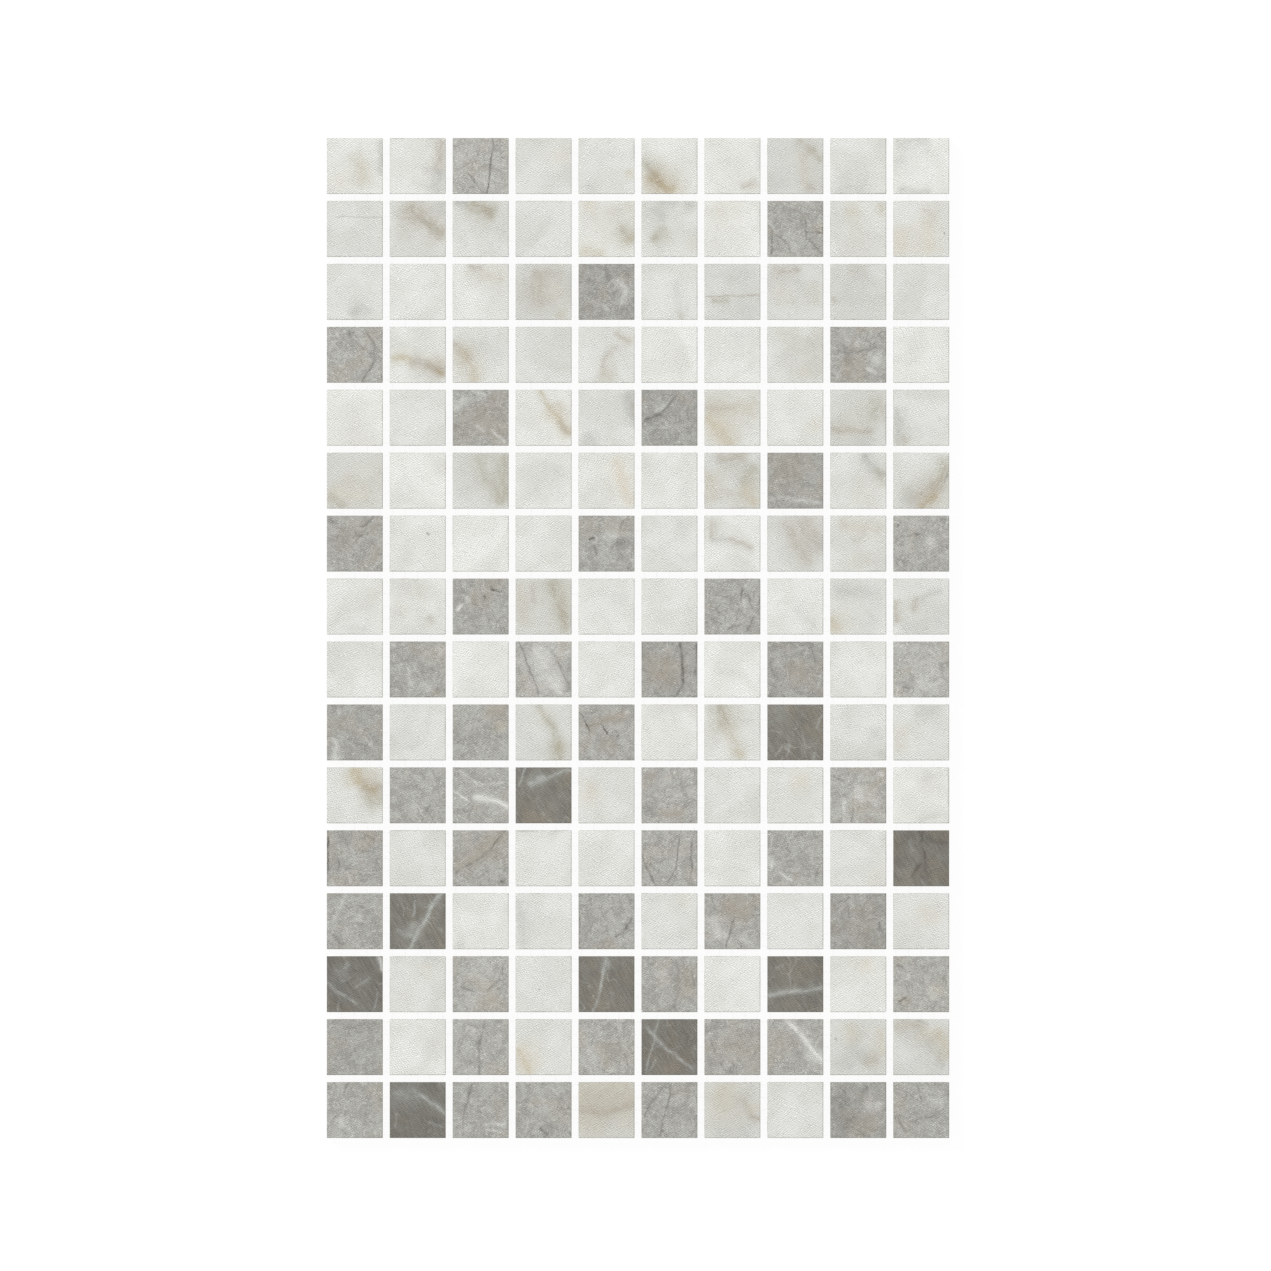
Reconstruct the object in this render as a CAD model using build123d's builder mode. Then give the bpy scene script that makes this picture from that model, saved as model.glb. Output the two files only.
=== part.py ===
"""Mosaic wall tile: square marble-effect ceramic chips bonded to a glass-fibre mesh.

The sheet lies face up in millimetres. X runs across its columns, Y runs up its rows,
and the underside of the mesh is on Z = 0, with the origin under the middle of the sheet.
"""

import os

from build123d import *

# Driving dimensions
COLUMNS = 10
ROWS = 16
CHIP_SIDE = 22.4
CHIP_THICKNESS = 8.0
CHIP_ARRIS = 0.3  # eased edge around the glazed face
JOINT = 2.8  # open gap between chips, left for grout
STRANDS_PER_CHIP = 5  # mesh strands that cross the back of each chip, each way
STRAND_WIDTH = 0.5
STRAND_THICKNESS = 0.2
MESH_INSET = 1.0  # the mesh is trimmed this far inside the outer chips

# Laying plan: {row from the top: columns from the left}; every other chip is pale
GREY_CHIPS = {
    1: (3,),
    2: (8,),
    3: (5,),
    4: (1, 9),
    5: (3, 6),
    6: (8,),
    7: (1, 5, 10),
    8: (3, 7),
    9: (2, 4, 6, 8, 10),
    10: (1, 3, 5),
    11: (2, 3, 6, 9),
    12: (1, 3, 6, 8),
    13: (1, 5, 7, 9),
    14: (3, 6, 10),
    15: (1, 3, 5, 7, 8),
    16: (1, 3, 4, 6, 9, 10),
}
DARK_CHIPS = {10: (8,), 11: (4,), 12: (10,), 13: (2,), 14: (1, 5, 8), 15: (6,), 16: (2,)}

# Sizes that follow
CHIP_PITCH = CHIP_SIDE + JOINT
SHEET_WIDTH = COLUMNS * CHIP_PITCH - JOINT
SHEET_LENGTH = ROWS * CHIP_PITCH - JOINT
STRAND_PITCH = CHIP_PITCH / STRANDS_PER_CHIP
WARP_BOTTOM = STRAND_THICKNESS
CHIP_BACK = WARP_BOTTOM + STRAND_THICKNESS


def tone_of(row, column):
    """Tone of the chip in a row and column, both counted from one at the top left."""
    if column in DARK_CHIPS.get(row, ()):
        return "dark"
    if column in GREY_CHIPS.get(row, ()):
        return "grey"
    return "pale"


def chip_places(tone):
    """Centres of the back faces of all chips of one tone."""
    left = (CHIP_SIDE - SHEET_WIDTH) / 2
    top = (SHEET_LENGTH - CHIP_SIDE) / 2
    return [
        (left + (column - 1) * CHIP_PITCH, top - (row - 1) * CHIP_PITCH, CHIP_BACK)
        for row in range(1, ROWS + 1)
        for column in range(1, COLUMNS + 1)
        if tone_of(row, column) == tone
    ]


# One chip: sawn sides, a flat back and an eased edge around the glazed face
with BuildPart() as chip:
    with BuildSketch():
        Rectangle(CHIP_SIDE, CHIP_SIDE)
    extrude(amount=CHIP_THICKNESS)
    chamfer(chip.faces().sort_by(Axis.Z)[-1].edges(), CHIP_ARRIS)

# The chips of each tone, laid on the mesh with open joints
with BuildPart() as pale_chips:
    with Locations(*chip_places("pale")):
        add(chip.part)
pale_chips.part.label = "pale_chips"

with BuildPart() as grey_chips:
    with Locations(*chip_places("grey")):
        add(chip.part)
grey_chips.part.label = "grey_chips"

with BuildPart() as dark_chips:
    with Locations(*chip_places("dark")):
        add(chip.part)
dark_chips.part.label = "dark_chips"

# The mesh: weft strands across the sheet, and warp strands laid along it on top of them
with BuildPart() as weft_strands:
    with BuildSketch():
        with GridLocations(STRAND_PITCH, STRAND_PITCH, 1, ROWS * STRANDS_PER_CHIP):
            Rectangle(SHEET_WIDTH - 2 * MESH_INSET, STRAND_WIDTH)
    extrude(amount=STRAND_THICKNESS)
weft_strands.part.label = "weft_strands"

with BuildPart() as warp_strands:
    with BuildSketch(Plane.XY.offset(WARP_BOTTOM)):
        with GridLocations(STRAND_PITCH, STRAND_PITCH, COLUMNS * STRANDS_PER_CHIP, 1):
            Rectangle(STRAND_WIDTH, SHEET_LENGTH - 2 * MESH_INSET)
    extrude(amount=STRAND_THICKNESS)
warp_strands.part.label = "warp_strands"

os.makedirs("parts", exist_ok=True)
for node in (pale_chips, grey_chips, dark_chips, weft_strands, warp_strands):
    export_step(node.part, f"parts/{node.part.label}.step")
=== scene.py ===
"""Mosaic wall tile: marble-effect ceramic chips on a glass-fibre mesh, dressed and lit for its picture."""

import logging
import random
from dataclasses import dataclass
from enum import Enum
from math import atan2, ceil, hypot, pi, radians, sqrt

import bmesh
import bpy
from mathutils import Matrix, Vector


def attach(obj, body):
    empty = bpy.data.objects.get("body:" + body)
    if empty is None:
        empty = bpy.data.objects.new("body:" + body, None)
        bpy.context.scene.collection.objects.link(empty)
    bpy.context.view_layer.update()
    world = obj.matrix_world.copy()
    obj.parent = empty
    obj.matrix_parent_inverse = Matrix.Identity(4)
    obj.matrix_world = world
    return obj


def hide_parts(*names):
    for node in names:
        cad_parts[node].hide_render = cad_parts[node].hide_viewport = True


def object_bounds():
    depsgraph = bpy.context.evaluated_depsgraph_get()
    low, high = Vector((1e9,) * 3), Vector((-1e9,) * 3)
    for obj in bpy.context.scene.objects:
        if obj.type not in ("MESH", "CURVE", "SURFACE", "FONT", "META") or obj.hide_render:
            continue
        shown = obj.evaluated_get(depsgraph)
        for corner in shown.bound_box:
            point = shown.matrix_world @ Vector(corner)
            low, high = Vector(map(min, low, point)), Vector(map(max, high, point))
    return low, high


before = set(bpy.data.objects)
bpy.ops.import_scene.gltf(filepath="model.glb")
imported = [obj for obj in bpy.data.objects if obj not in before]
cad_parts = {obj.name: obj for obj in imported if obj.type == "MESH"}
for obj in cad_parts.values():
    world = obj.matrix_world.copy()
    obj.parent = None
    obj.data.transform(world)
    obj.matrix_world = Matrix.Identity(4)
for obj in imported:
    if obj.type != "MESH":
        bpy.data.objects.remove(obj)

CAD_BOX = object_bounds()
LOG = logging.getLogger("mosaic")

MM = 0.001  # one millimetre in scene units
PHOTO_PIXELS = 1271
PIXEL = 0.4004 * MM  # one pixel of the photograph on the tile
BAKE_MAP = "OFBake"
VEIN_LIMIT = 6  # veins drawn on one chip at most
PER_REACH = 0.09  # makes about 1 of the millimetres from a chip's middle to its sides
NICKED = (0.42, 0.75)  # the noise from which an edge is nicked, and at which it is nicked fully
YARN_SIDES = 6  # flats around a yarn
SWAYS_PER_MM = 0.07

Socket = bpy.types.NodeSocket
Colour = tuple[float, float, float, float]
WHITE: Colour = (1.0, 1.0, 1.0, 1.0)


def paint(red: int, green: int, blue: int) -> Colour:
    """Turns screen values from 0 to 255 into a linear colour.

    Args:
        red: Red as a screen shows it.
        green: Green as a screen shows it.
        blue: Blue as a screen shows it.

    Returns:
        The linear colour, with full alpha.
    """
    def linear(level: int) -> float:
        """One channel without the screen's curve."""
        share = level / 255
        return share / 12.92 if share <= 0.04045 else ((share + 0.055) / 1.055) ** 2.4

    return (linear(red), linear(green), linear(blue), 1.0)


class Tone(Enum):
    """The three tones of chip, as the CAD nodes name them."""

    PALE = "pale"
    GREY = "grey"
    DARK = "dark"


class Tint(Enum):
    """Colours of the veins and clouds in the glaze, as screen values."""

    PEACH = (216, 207, 190)
    BEIGE = (203, 198, 184)
    OCHRE = (192, 181, 154)
    HONEY = (172, 155, 120)
    OLIVE = (178, 174, 157)
    UMBER = (179, 171, 157)
    ASH = (187, 187, 181)
    CHALK = (222, 222, 217)
    FROST = (183, 186, 181)
    RUST = (165, 155, 141)
    CRACK = (120, 118, 111)
    SOOT = (84, 80, 74)


class Shade(Enum):
    """How light a chip is beside its neighbours of the same tone, as a share of its colour."""

    DIM = 0.88
    DULL = 0.93
    PLAIN = 1.0
    LIGHT = 1.05
    BRIGHT = 1.1


class Layer(Enum):
    """Where the layers of a glaze read their noise, in millimetres, so that no two are alike."""

    DUSK = (71.0, 13.0, 5.0)
    BLUSH = (31.0, 7.0, 3.0)
    FLECKS = (17.0, 29.0, 1.0)
    PITS = (5.0, 43.0, 9.0)
    DARK_HAIRS = (61.0, 3.0, 2.0)
    LIGHT_HAIRS = (9.0, 83.0, 4.0)


@dataclass(frozen=True)
class Vein:
    """One vein, crack or cloud in a chip's glaze, in millimetres from the chip's middle.

    Attributes:
        tint: Its colour.
        start: Where it starts.
        end: Where it ends.
        width: Half the width of its soft core.
        strength: How fully its colour covers the ground.
        bow: How far its middle bulges to the left of the way from start to end.
    """

    tint: Tint
    start: tuple[float, float]
    end: tuple[float, float]
    width: float
    strength: float
    bow: float = 0.0

    def lie(self) -> Vector:
        """Its middle, and the turn that lays it along X."""
        middle_x = (self.start[0] + self.end[0]) / 2
        middle_y = (self.start[1] + self.end[1]) / 2
        return Vector((middle_x, middle_y, -atan2(self.end[1] - self.start[1], self.end[0] - self.start[0])))

    def shape(self) -> Vector:
        """Half its length, its bow and half its width."""
        half = hypot(self.end[0] - self.start[0], self.end[1] - self.start[1]) / 2
        return Vector((max(half, self.width), self.bow, self.width))

    def cover(self) -> Colour:
        """Its colour, with its strength as alpha."""
        return (*paint(*self.tint.value)[:3], self.strength)


# The chips whose ground is darker or lighter than most: {row from the top: columns from the left}
SHADED_CHIPS: dict[Shade, dict[int, tuple[int, ...]]] = {
    Shade.DIM: {13: (9,), 14: (1,), 16: (2, 5, 9)},
    Shade.DULL: {
        1: (8,), 3: (4, 5, 7, 8, 9), 5: (6, 9), 6: (1, 3, 7, 8), 7: (8,), 8: (4,), 9: (6, 8), 10: (1, 4),
        12: (10,), 14: (5, 8), 15: (1, 6, 9, 10), 16: (7,),
    },
    Shade.LIGHT: {
        1: (1, 2, 6, 9), 3: (2, 3), 4: (1, 2, 7), 5: (4, 8), 6: (4, 5, 6), 7: (2, 4, 7, 10),
        8: (1, 2, 5, 6, 8), 9: (1, 5, 9), 10: (6, 8), 11: (6, 9), 12: (4, 5, 7), 13: (3,),
        14: (3, 7, 9, 10), 15: (2, 3, 5),
    },
    Shade.BRIGHT: {
        1: (3, 7, 10), 2: (5, 7), 4: (6, 10), 5: (1,), 6: (2,), 7: (3,), 9: (3, 4, 7, 10), 11: (10,),
    },
}

# Veins of single chips, by row from the top and column from the left. The thin CRACK and SOOT lines about 11
# mm from a chip's middle darken its very edge.
VEINS: dict[tuple[int, int], tuple[Vein, ...]] = {
    (1, 1): (
        Vein(Tint.BEIGE, (0, 6), (4, -9), 2.8, 0.5),
        Vein(Tint.OCHRE, (2, 2), (4, -6), 1.4, 0.3),
        Vein(Tint.ASH, (10.6, 10), (10.4, -4), 1.2, 0.6),
        Vein(Tint.PEACH, (-7, -4), (-4, -9), 2.5, 0.3),
    ),
    (1, 2): (
        Vein(Tint.UMBER, (9.8, 11), (8.5, -3), 1.9, 0.7),
        Vein(Tint.ASH, (8.5, -1), (7, -11), 2.0, 0.7),
        Vein(Tint.CRACK, (-11, 11.1), (11, 11.1), 0.25, 0.4),
    ),
    (1, 3): (
        Vein(Tint.CHALK, (4, -3), (3, -8), 1.2, 0.4),
        Vein(Tint.CHALK, (-9, 7), (-6, 4), 2.0, 0.35),
        Vein(Tint.CRACK, (5.2, 13), (2.3, -13), 0.38, 0.9, 0.4),
        Vein(Tint.CRACK, (-0.5, 9), (-1, 4), 0.35, 0.55),
        Vein(Tint.CRACK, (-5, -3), (1, -11), 0.35, 0.6),
    ),
    (1, 4): (Vein(Tint.PEACH, (7, 8), (7, 1), 3.0, 0.35),),
    (1, 5): (
        Vein(Tint.OCHRE, (10, -1), (9.5, -5), 1.4, 0.45),
        Vein(Tint.ASH, (-10, -8), (-4, -11), 2.5, 0.3),
    ),
    (1, 6): (
        Vein(Tint.BEIGE, (-11, -2), (-2, -11), 4.2, 0.55),
        Vein(Tint.OLIVE, (-11.5, 3.2), (-5, -4.5), 1.6, 0.6),
        Vein(Tint.HONEY, (-8.5, -3), (1, -11), 2.4, 0.7),
        Vein(Tint.RUST, (-9.5, 0.5), (-4, -7), 0.9, 0.35),
        Vein(Tint.OCHRE, (-1, -8.5), (6, -11.5), 2.2, 0.4),
    ),
    (1, 7): (
        Vein(Tint.UMBER, (3, -9), (10, -6), 1.5, 0.5),
        Vein(Tint.ASH, (10, 9), (11, -2), 1.4, 0.3),
    ),
    (1, 8): (
        Vein(Tint.UMBER, (1, 11), (7, 5), 1.6, 0.6),
        Vein(Tint.OLIVE, (6, 7), (11, 2), 1.2, 0.6),
        Vein(Tint.BEIGE, (3, 6), (4, -9), 1.6, 0.6),
        Vein(Tint.UMBER, (4, -8), (8, -10), 1.4, 0.5),
        Vein(Tint.ASH, (-11, -3), (-6, -11), 3.0, 0.3),
    ),
    (1, 9): (
        Vein(Tint.ASH, (-11, -7), (3, -11), 4.0, 0.35),
        Vein(Tint.CRACK, (11.1, 11), (11.1, 5), 0.3, 0.4),
        Vein(Tint.CRACK, (2, -11.1), (11, -11.1), 0.3, 0.4),
    ),
    (1, 10): (
        Vein(Tint.ASH, (-10, 9), (3, 11), 1.8, 0.5),
        Vein(Tint.ASH, (-9, -9.5), (4, -10.5), 1.2, 0.5),
        Vein(Tint.ASH, (-10, 6), (-9, -2), 4.0, 0.35),
    ),
    (2, 1): (
        Vein(Tint.ASH, (-7, 4.6), (11, 4.6), 0.22, 0.65),
        Vein(Tint.ASH, (-5, -6), (6, -7), 6.0, 0.14),
    ),
    (2, 2): (
        Vein(Tint.UMBER, (-6, 9), (1, 5), 4.0, 0.85),
        Vein(Tint.UMBER, (0, 6), (11, -4), 2.6, 0.8, 0.6),
        Vein(Tint.OLIVE, (4, 3), (8, -2), 1.2, 0.6),
        Vein(Tint.ASH, (8, 11), (11, 5), 2.0, 0.5),
    ),
    (2, 3): (
        Vein(Tint.ASH, (-11, 11), (-5, 10), 1.4, 0.8),
        Vein(Tint.OLIVE, (-5, 10), (6, 5), 2.0, 0.95, 0.8),
        Vein(Tint.UMBER, (0, 8), (5, 5), 1.2, 0.6),
        Vein(Tint.ASH, (9, 8), (10, -6), 2.0, 0.25),
    ),
    (2, 5): (
        Vein(Tint.BEIGE, (1, 9), (9, -4), 2.0, 0.4),
        Vein(Tint.OLIVE, (5.5, 1.5), (11, -6), 2.2, 0.6),
        Vein(Tint.HONEY, (9.2, -2.5), (10.6, -5), 1.6, 0.4),
        Vein(Tint.PEACH, (-9, 9), (-4, 11), 2.6, 0.5),
        Vein(Tint.BEIGE, (7, 10), (11, 8), 2.0, 0.45),
        Vein(Tint.OCHRE, (-11, -8.5), (-1, -10.5), 2.2, 0.5),
    ),
    (2, 6): (
        Vein(Tint.ASH, (-10, 9), (-1, 4), 3.2, 0.5),
        Vein(Tint.ASH, (6, 11), (10, 8), 1.6, 0.5),
        Vein(Tint.ASH, (-4, 11), (3, 10), 1.4, 0.4),
        Vein(Tint.OLIVE, (-7, -5), (-1, 0), 1.6, 0.75),
        Vein(Tint.BEIGE, (7, -5), (9, -9), 2.0, 0.35),
    ),
    (2, 7): (Vein(Tint.PEACH, (-8, 8), (4, 7), 3.5, 0.3),),
    (2, 8): (
        Vein(Tint.CRACK, (-9, -1), (-9.5, -11), 0.35, 0.8),
        Vein(Tint.CRACK, (4, -1.2), (11, -1.4), 0.35, 0.85),
        Vein(Tint.CRACK, (4, 4), (4.5, -4), 0.5, 0.6),
        Vein(Tint.CRACK, (5, -4), (10.5, -10), 0.5, 0.6),
        Vein(Tint.CRACK, (-8, -2), (-2, -10), 0.4, 0.55, 1.5),
        Vein(Tint.CHALK, (-2, -4), (2, -10), 1.6, 0.25),
    ),
    (2, 9): (
        Vein(Tint.OCHRE, (-5, 6), (1, 7), 2.2, 0.4),
        Vein(Tint.OCHRE, (9, 10), (9.5, 5), 1.5, 0.35),
        Vein(Tint.BEIGE, (-6, -5), (8, -6), 6.0, 0.2),
    ),
    (2, 10): (
        Vein(Tint.PEACH, (-9, 1), (-8, -11), 2.6, 0.55),
        Vein(Tint.PEACH, (2, 4), (3, -10), 2.6, 0.55),
        Vein(Tint.BEIGE, (0, 9), (6, 4), 2.4, 0.5),
        Vein(Tint.SOOT, (9.2, -1.4), (9.6, -1.5), 0.3, 0.6),
    ),
    (3, 1): (
        Vein(Tint.ASH, (-1, -10), (3, -5.5), 1.5, 0.6),
        Vein(Tint.ASH, (3, -5.5), (7, -8.5), 1.2, 0.4),
    ),
    (3, 3): (
        Vein(Tint.UMBER, (-6, 10.5), (1, 9.5), 1.8, 0.6),
        Vein(Tint.BEIGE, (0, 8), (9, 4), 1.8, 0.55),
    ),
    (3, 4): (
        Vein(Tint.UMBER, (-2.5, 9), (-1, -7), 4.0, 0.62),
        Vein(Tint.UMBER, (-4, 7), (8, 8), 2.0, 0.35),
        Vein(Tint.BEIGE, (5, 4), (5, -3), 4.0, 0.5),
        Vein(Tint.OCHRE, (6, -8), (9, -10), 2.0, 0.35),
        Vein(Tint.ASH, (10.5, 8), (10.5, -2), 1.2, 0.4),
    ),
    (3, 5): (
        Vein(Tint.CRACK, (0, 11), (-0.5, 6), 0.4, 0.5),
        Vein(Tint.CRACK, (1, 9), (-1, 3), 0.8, 0.5),
        Vein(Tint.CHALK, (4, 5), (8, 1), 0.9, 0.6),
        Vein(Tint.CHALK, (8, 1), (6, -5), 0.9, 0.6),
        Vein(Tint.CRACK, (3, 0), (4, -4), 0.6, 0.45),
        Vein(Tint.CRACK, (7, 9), (10, 6), 1.2, 0.3),
    ),
    (3, 6): (
        Vein(Tint.ASH, (3, 5), (4.5, -8), 1.5, 0.3),
        Vein(Tint.OLIVE, (5, -7.5), (5, -11), 1.2, 0.4),
    ),
    (3, 7): (
        Vein(Tint.UMBER, (-11, -1.8), (11, -1.4), 0.45, 0.75),
        Vein(Tint.OLIVE, (-8.5, -3.5), (-1, -3.4), 1.1, 0.6),
        Vein(Tint.ASH, (-3, 5), (10, 8), 2.0, 0.25),
        Vein(Tint.ASH, (2, -6), (10, -8), 4.0, 0.25),
    ),
    (3, 8): (
        Vein(Tint.UMBER, (-10, 9), (2, 8.5), 1.9, 0.5),
        Vein(Tint.RUST, (0, 10), (1.5, 8), 0.8, 0.35),
        Vein(Tint.BEIGE, (7, 4), (8, -5), 1.8, 0.45),
        Vein(Tint.PEACH, (-5, 3), (-7, -5), 3.0, 0.25),
    ),
    (3, 9): (
        Vein(Tint.UMBER, (-5, 9), (3, 8), 1.5, 0.4),
        Vein(Tint.UMBER, (-10.5, -2), (-9.5, -5), 1.1, 0.5),
        Vein(Tint.ASH, (-4, -4), (4, -2), 3.0, 0.25),
    ),
    (4, 1): (
        Vein(Tint.CRACK, (8, -2.5), (3, -10.8), 0.4, 0.9),
        Vein(Tint.CRACK, (8.3, 3), (8, -2.5), 0.3, 0.5),
        Vein(Tint.CRACK, (5, 10), (8.5, 3), 0.5, 0.55),
        Vein(Tint.CRACK, (-2, 10), (-1, 6), 0.45, 0.7),
        Vein(Tint.CRACK, (0, 6), (8, -2), 0.35, 0.45),
        Vein(Tint.RUST, (6, 10.5), (9, 6), 2.0, 0.35),
    ),
    (4, 2): (
        Vein(Tint.OCHRE, (-11, -1.2), (-2, -2.2), 1.3, 0.7, 0.4),
        Vein(Tint.UMBER, (-3, -2.2), (10, -6), 1.7, 0.8),
        Vein(Tint.BEIGE, (3, -2.5), (11, -3.5), 1.6, 0.6),
        Vein(Tint.UMBER, (3, -4), (10.5, -8), 1.5, 0.7),
        Vein(Tint.HONEY, (7, -6), (10.5, -7.5), 0.9, 0.5),
    ),
    (4, 3): (
        Vein(Tint.UMBER, (-11.5, 4.8), (-4.5, -3), 1.9, 0.62, 0.9),
        Vein(Tint.OCHRE, (-8, 2), (-1.5, -11.5), 2.0, 0.55, 0.9),
        Vein(Tint.BEIGE, (-9, 0), (-5, -9), 3.0, 0.3),
        Vein(Tint.ASH, (2, 6), (8, -4), 5.0, 0.25),
    ),
    (4, 5): (
        Vein(Tint.UMBER, (3.5, 9), (10, 4.5), 1.1, 0.6),
        Vein(Tint.UMBER, (4, 3.5), (-1, -9), 1.2, 0.5, -2.2),
        Vein(Tint.BEIGE, (8, 8), (10, 3), 2.0, 0.3),
        Vein(Tint.BEIGE, (-3, -8), (3, -10), 2.5, 0.6),
    ),
    (4, 7): (Vein(Tint.ASH, (0, 7), (8, 8), 2.0, 0.18),),
    (4, 8): (
        Vein(Tint.OLIVE, (7, 10), (7, -10), 4.5, 0.26),
        Vein(Tint.BEIGE, (-8, 9), (2, 8), 2.5, 0.3),
        Vein(Tint.PEACH, (3, -5), (3, -9), 2.0, 0.25),
    ),
    (4, 9): (
        Vein(Tint.CRACK, (-6, 8), (-4, -3), 1.2, 0.45),
        Vein(Tint.RUST, (-4, -2), (-4, -9), 2.0, 0.6),
        Vein(Tint.CRACK, (-3, 1), (9, 3), 0.8, 0.5),
        Vein(Tint.CHALK, (6, -1), (9, -2), 1.6, 0.6),
        Vein(Tint.CHALK, (3, -5), (8, -8), 0.8, 0.5),
        Vein(Tint.CHALK, (-7, 8), (-3, 5), 1.5, 0.3),
    ),
    (5, 3): (
        Vein(Tint.RUST, (-1, 3), (2, -5), 5.0, 0.55),
        Vein(Tint.RUST, (5, 10), (7, 6), 2.0, 0.45),
        Vein(Tint.CHALK, (-10, 3), (-6, 8), 1.2, 0.5),
        Vein(Tint.CHALK, (4, -5), (10, -10), 0.6, 0.6),
        Vein(Tint.CHALK, (-2, -3), (2, -6), 0.6, 0.5),
        Vein(Tint.CHALK, (-4, 11), (3, 9), 0.6, 0.4),
    ),
    (5, 4): (
        Vein(Tint.OCHRE, (-2, 11), (3, 3), 1.1, 0.6),
        Vein(Tint.OCHRE, (2.5, 4), (11.5, -7.5), 1.6, 0.75),
        Vein(Tint.UMBER, (6, -1), (11, -6.5), 1.0, 0.5),
        Vein(Tint.UMBER, (5, 6), (11, 1), 1.4, 0.25),
        Vein(Tint.PEACH, (3, 5), (7, 0), 2.5, 0.35),
    ),
    (5, 5): (
        Vein(Tint.ASH, (9, 10), (11, -3), 2.0, 0.8),
        Vein(Tint.ASH, (9.5, 12), (10.5, 4), 1.5, 0.5),
        Vein(Tint.UMBER, (10.5, 6), (11, 0), 0.9, 0.4),
        Vein(Tint.ASH, (-10, -8), (-3, -11), 2.5, 0.6),
    ),
    (5, 6): (
        Vein(Tint.CHALK, (-6, 2.5), (1, 6), 0.65, 0.3),
        Vein(Tint.CRACK, (-10, -1), (-3, 1.5), 0.8, 0.9),
        Vein(Tint.CRACK, (-3, 2), (3, 9), 0.5, 0.85),
        Vein(Tint.CRACK, (-11, 7), (-6, 7), 0.4, 0.3),
        Vein(Tint.RUST, (3, 9), (9, 6), 1.5, 0.3),
    ),
    (5, 7): (
        Vein(Tint.BEIGE, (-11, 3), (11, 4), 3.4, 0.8),
        Vein(Tint.UMBER, (-11, 3.6), (2, 4.4), 1.3, 0.35),
        Vein(Tint.PEACH, (-8, -2), (-1, -10), 3.5, 0.4),
        Vein(Tint.OCHRE, (-11, 1), (0.5, -11.5), 2.0, 0.55),
    ),
    (5, 8): (Vein(Tint.PEACH, (6, -1), (9, -5), 2.2, 0.35),),
    (5, 9): (
        Vein(Tint.OLIVE, (7.5, 9), (6, -2), 3.8, 0.6),
        Vein(Tint.UMBER, (-11, -4.7), (7, -5.2), 1.3, 0.68),
        Vein(Tint.ASH, (-1, -9), (6, -10), 1.8, 0.45),
        Vein(Tint.BEIGE, (-9, -3.5), (3, -3), 2.5, 0.3),
    ),
    (5, 10): (
        Vein(Tint.ASH, (-10.5, 4), (-8, -10), 2.0, 0.6),
        Vein(Tint.UMBER, (-8, -7), (-6, -11), 1.2, 0.4),
    ),
    (6, 1): (
        Vein(Tint.OLIVE, (-11, -5), (-4, -11), 2.0, 0.7),
        Vein(Tint.BEIGE, (-6, 2), (9, -8), 5.0, 0.5),
        Vein(Tint.BEIGE, (9, 9), (10, 0), 2.0, 0.3),
        Vein(Tint.PEACH, (-10, -4), (4, -6), 1.5, 0.35),
    ),
    (6, 2): (Vein(Tint.ASH, (-10, -3), (-4, -9), 2.5, 0.25),),
    (6, 3): (
        Vein(Tint.OLIVE, (-1, 11), (3, -2), 2.5, 0.52),
        Vein(Tint.CHALK, (3, 9), (4, 4), 0.8, 0.5),
        Vein(Tint.OLIVE, (10, 11), (9.5, -9), 2.6, 0.75),
        Vein(Tint.OLIVE, (4, 0), (8.5, -10), 1.6, 0.5),
    ),
    (6, 4): (Vein(Tint.ASH, (-8, -5), (8, 5), 3.0, 0.14),),
    (6, 5): (
        Vein(Tint.PEACH, (3.5, 9.5), (6.5, 0), 2.0, 0.7),
        Vein(Tint.PEACH, (6, 1), (10.5, -10.5), 1.8, 0.7),
    ),
    (6, 7): (
        Vein(Tint.UMBER, (-6, 9), (6, 10.5), 2.2, 0.65),
        Vein(Tint.BEIGE, (-9.5, 4), (-8, -9), 2.6, 0.8),
        Vein(Tint.OLIVE, (10, 6), (4, -2), 2.2, 0.7, -0.8),
        Vein(Tint.OCHRE, (4, -2), (9.5, -10), 2.2, 0.6),
        Vein(Tint.UMBER, (-6, -4), (4, -6), 1.5, 0.3),
    ),
    (6, 8): (
        Vein(Tint.RUST, (-6, 6), (3, 3), 5.0, 0.45),
        Vein(Tint.CHALK, (-4, -7), (10, -8.5), 0.7, 0.6),
        Vein(Tint.CHALK, (-11, -8), (-5, -6.5), 0.6, 0.4),
        Vein(Tint.CRACK, (-11, -4.5), (-5, -9), 0.5, 0.5),
    ),
    (6, 9): (
        Vein(Tint.ASH, (2, 11), (10.5, 2), 1.5, 0.95, -1.2),
        Vein(Tint.OLIVE, (7, 5), (10.5, -3), 1.5, 0.55),
        Vein(Tint.BEIGE, (-3, -6), (8, -8), 3.5, 0.3),
    ),
    (6, 10): (
        Vein(Tint.OLIVE, (11, 9), (5, -4), 2.6, 0.85, 1.0),
        Vein(Tint.UMBER, (7, -1), (-4, -10), 3.0, 0.7),
        Vein(Tint.HONEY, (7, -5), (-1, -11), 1.5, 0.6),
        Vein(Tint.CRACK, (10.5, 3), (9, -1), 0.4, 0.5),
        Vein(Tint.ASH, (-8, -6), (-3, -10), 3.0, 0.5),
    ),
    (7, 1): (
        Vein(Tint.RUST, (-4, 6), (0, 3), 5.0, 0.35),
        Vein(Tint.CRACK, (8.2, 11), (1.5, 7), 0.4, 0.75, 0.6),
        Vein(Tint.CRACK, (3.5, 4), (-1, -0.8), 0.3, 0.6),
        Vein(Tint.RUST, (6, 1), (8, -7), 0.5, 0.7, 1.0),
        Vein(Tint.CRACK, (-11, 9.5), (-8, 8.5), 0.7, 0.5),
        Vein(Tint.SOOT, (-0.8, -4.3), (-0.2, -4.7), 0.5, 0.6),
    ),
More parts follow.
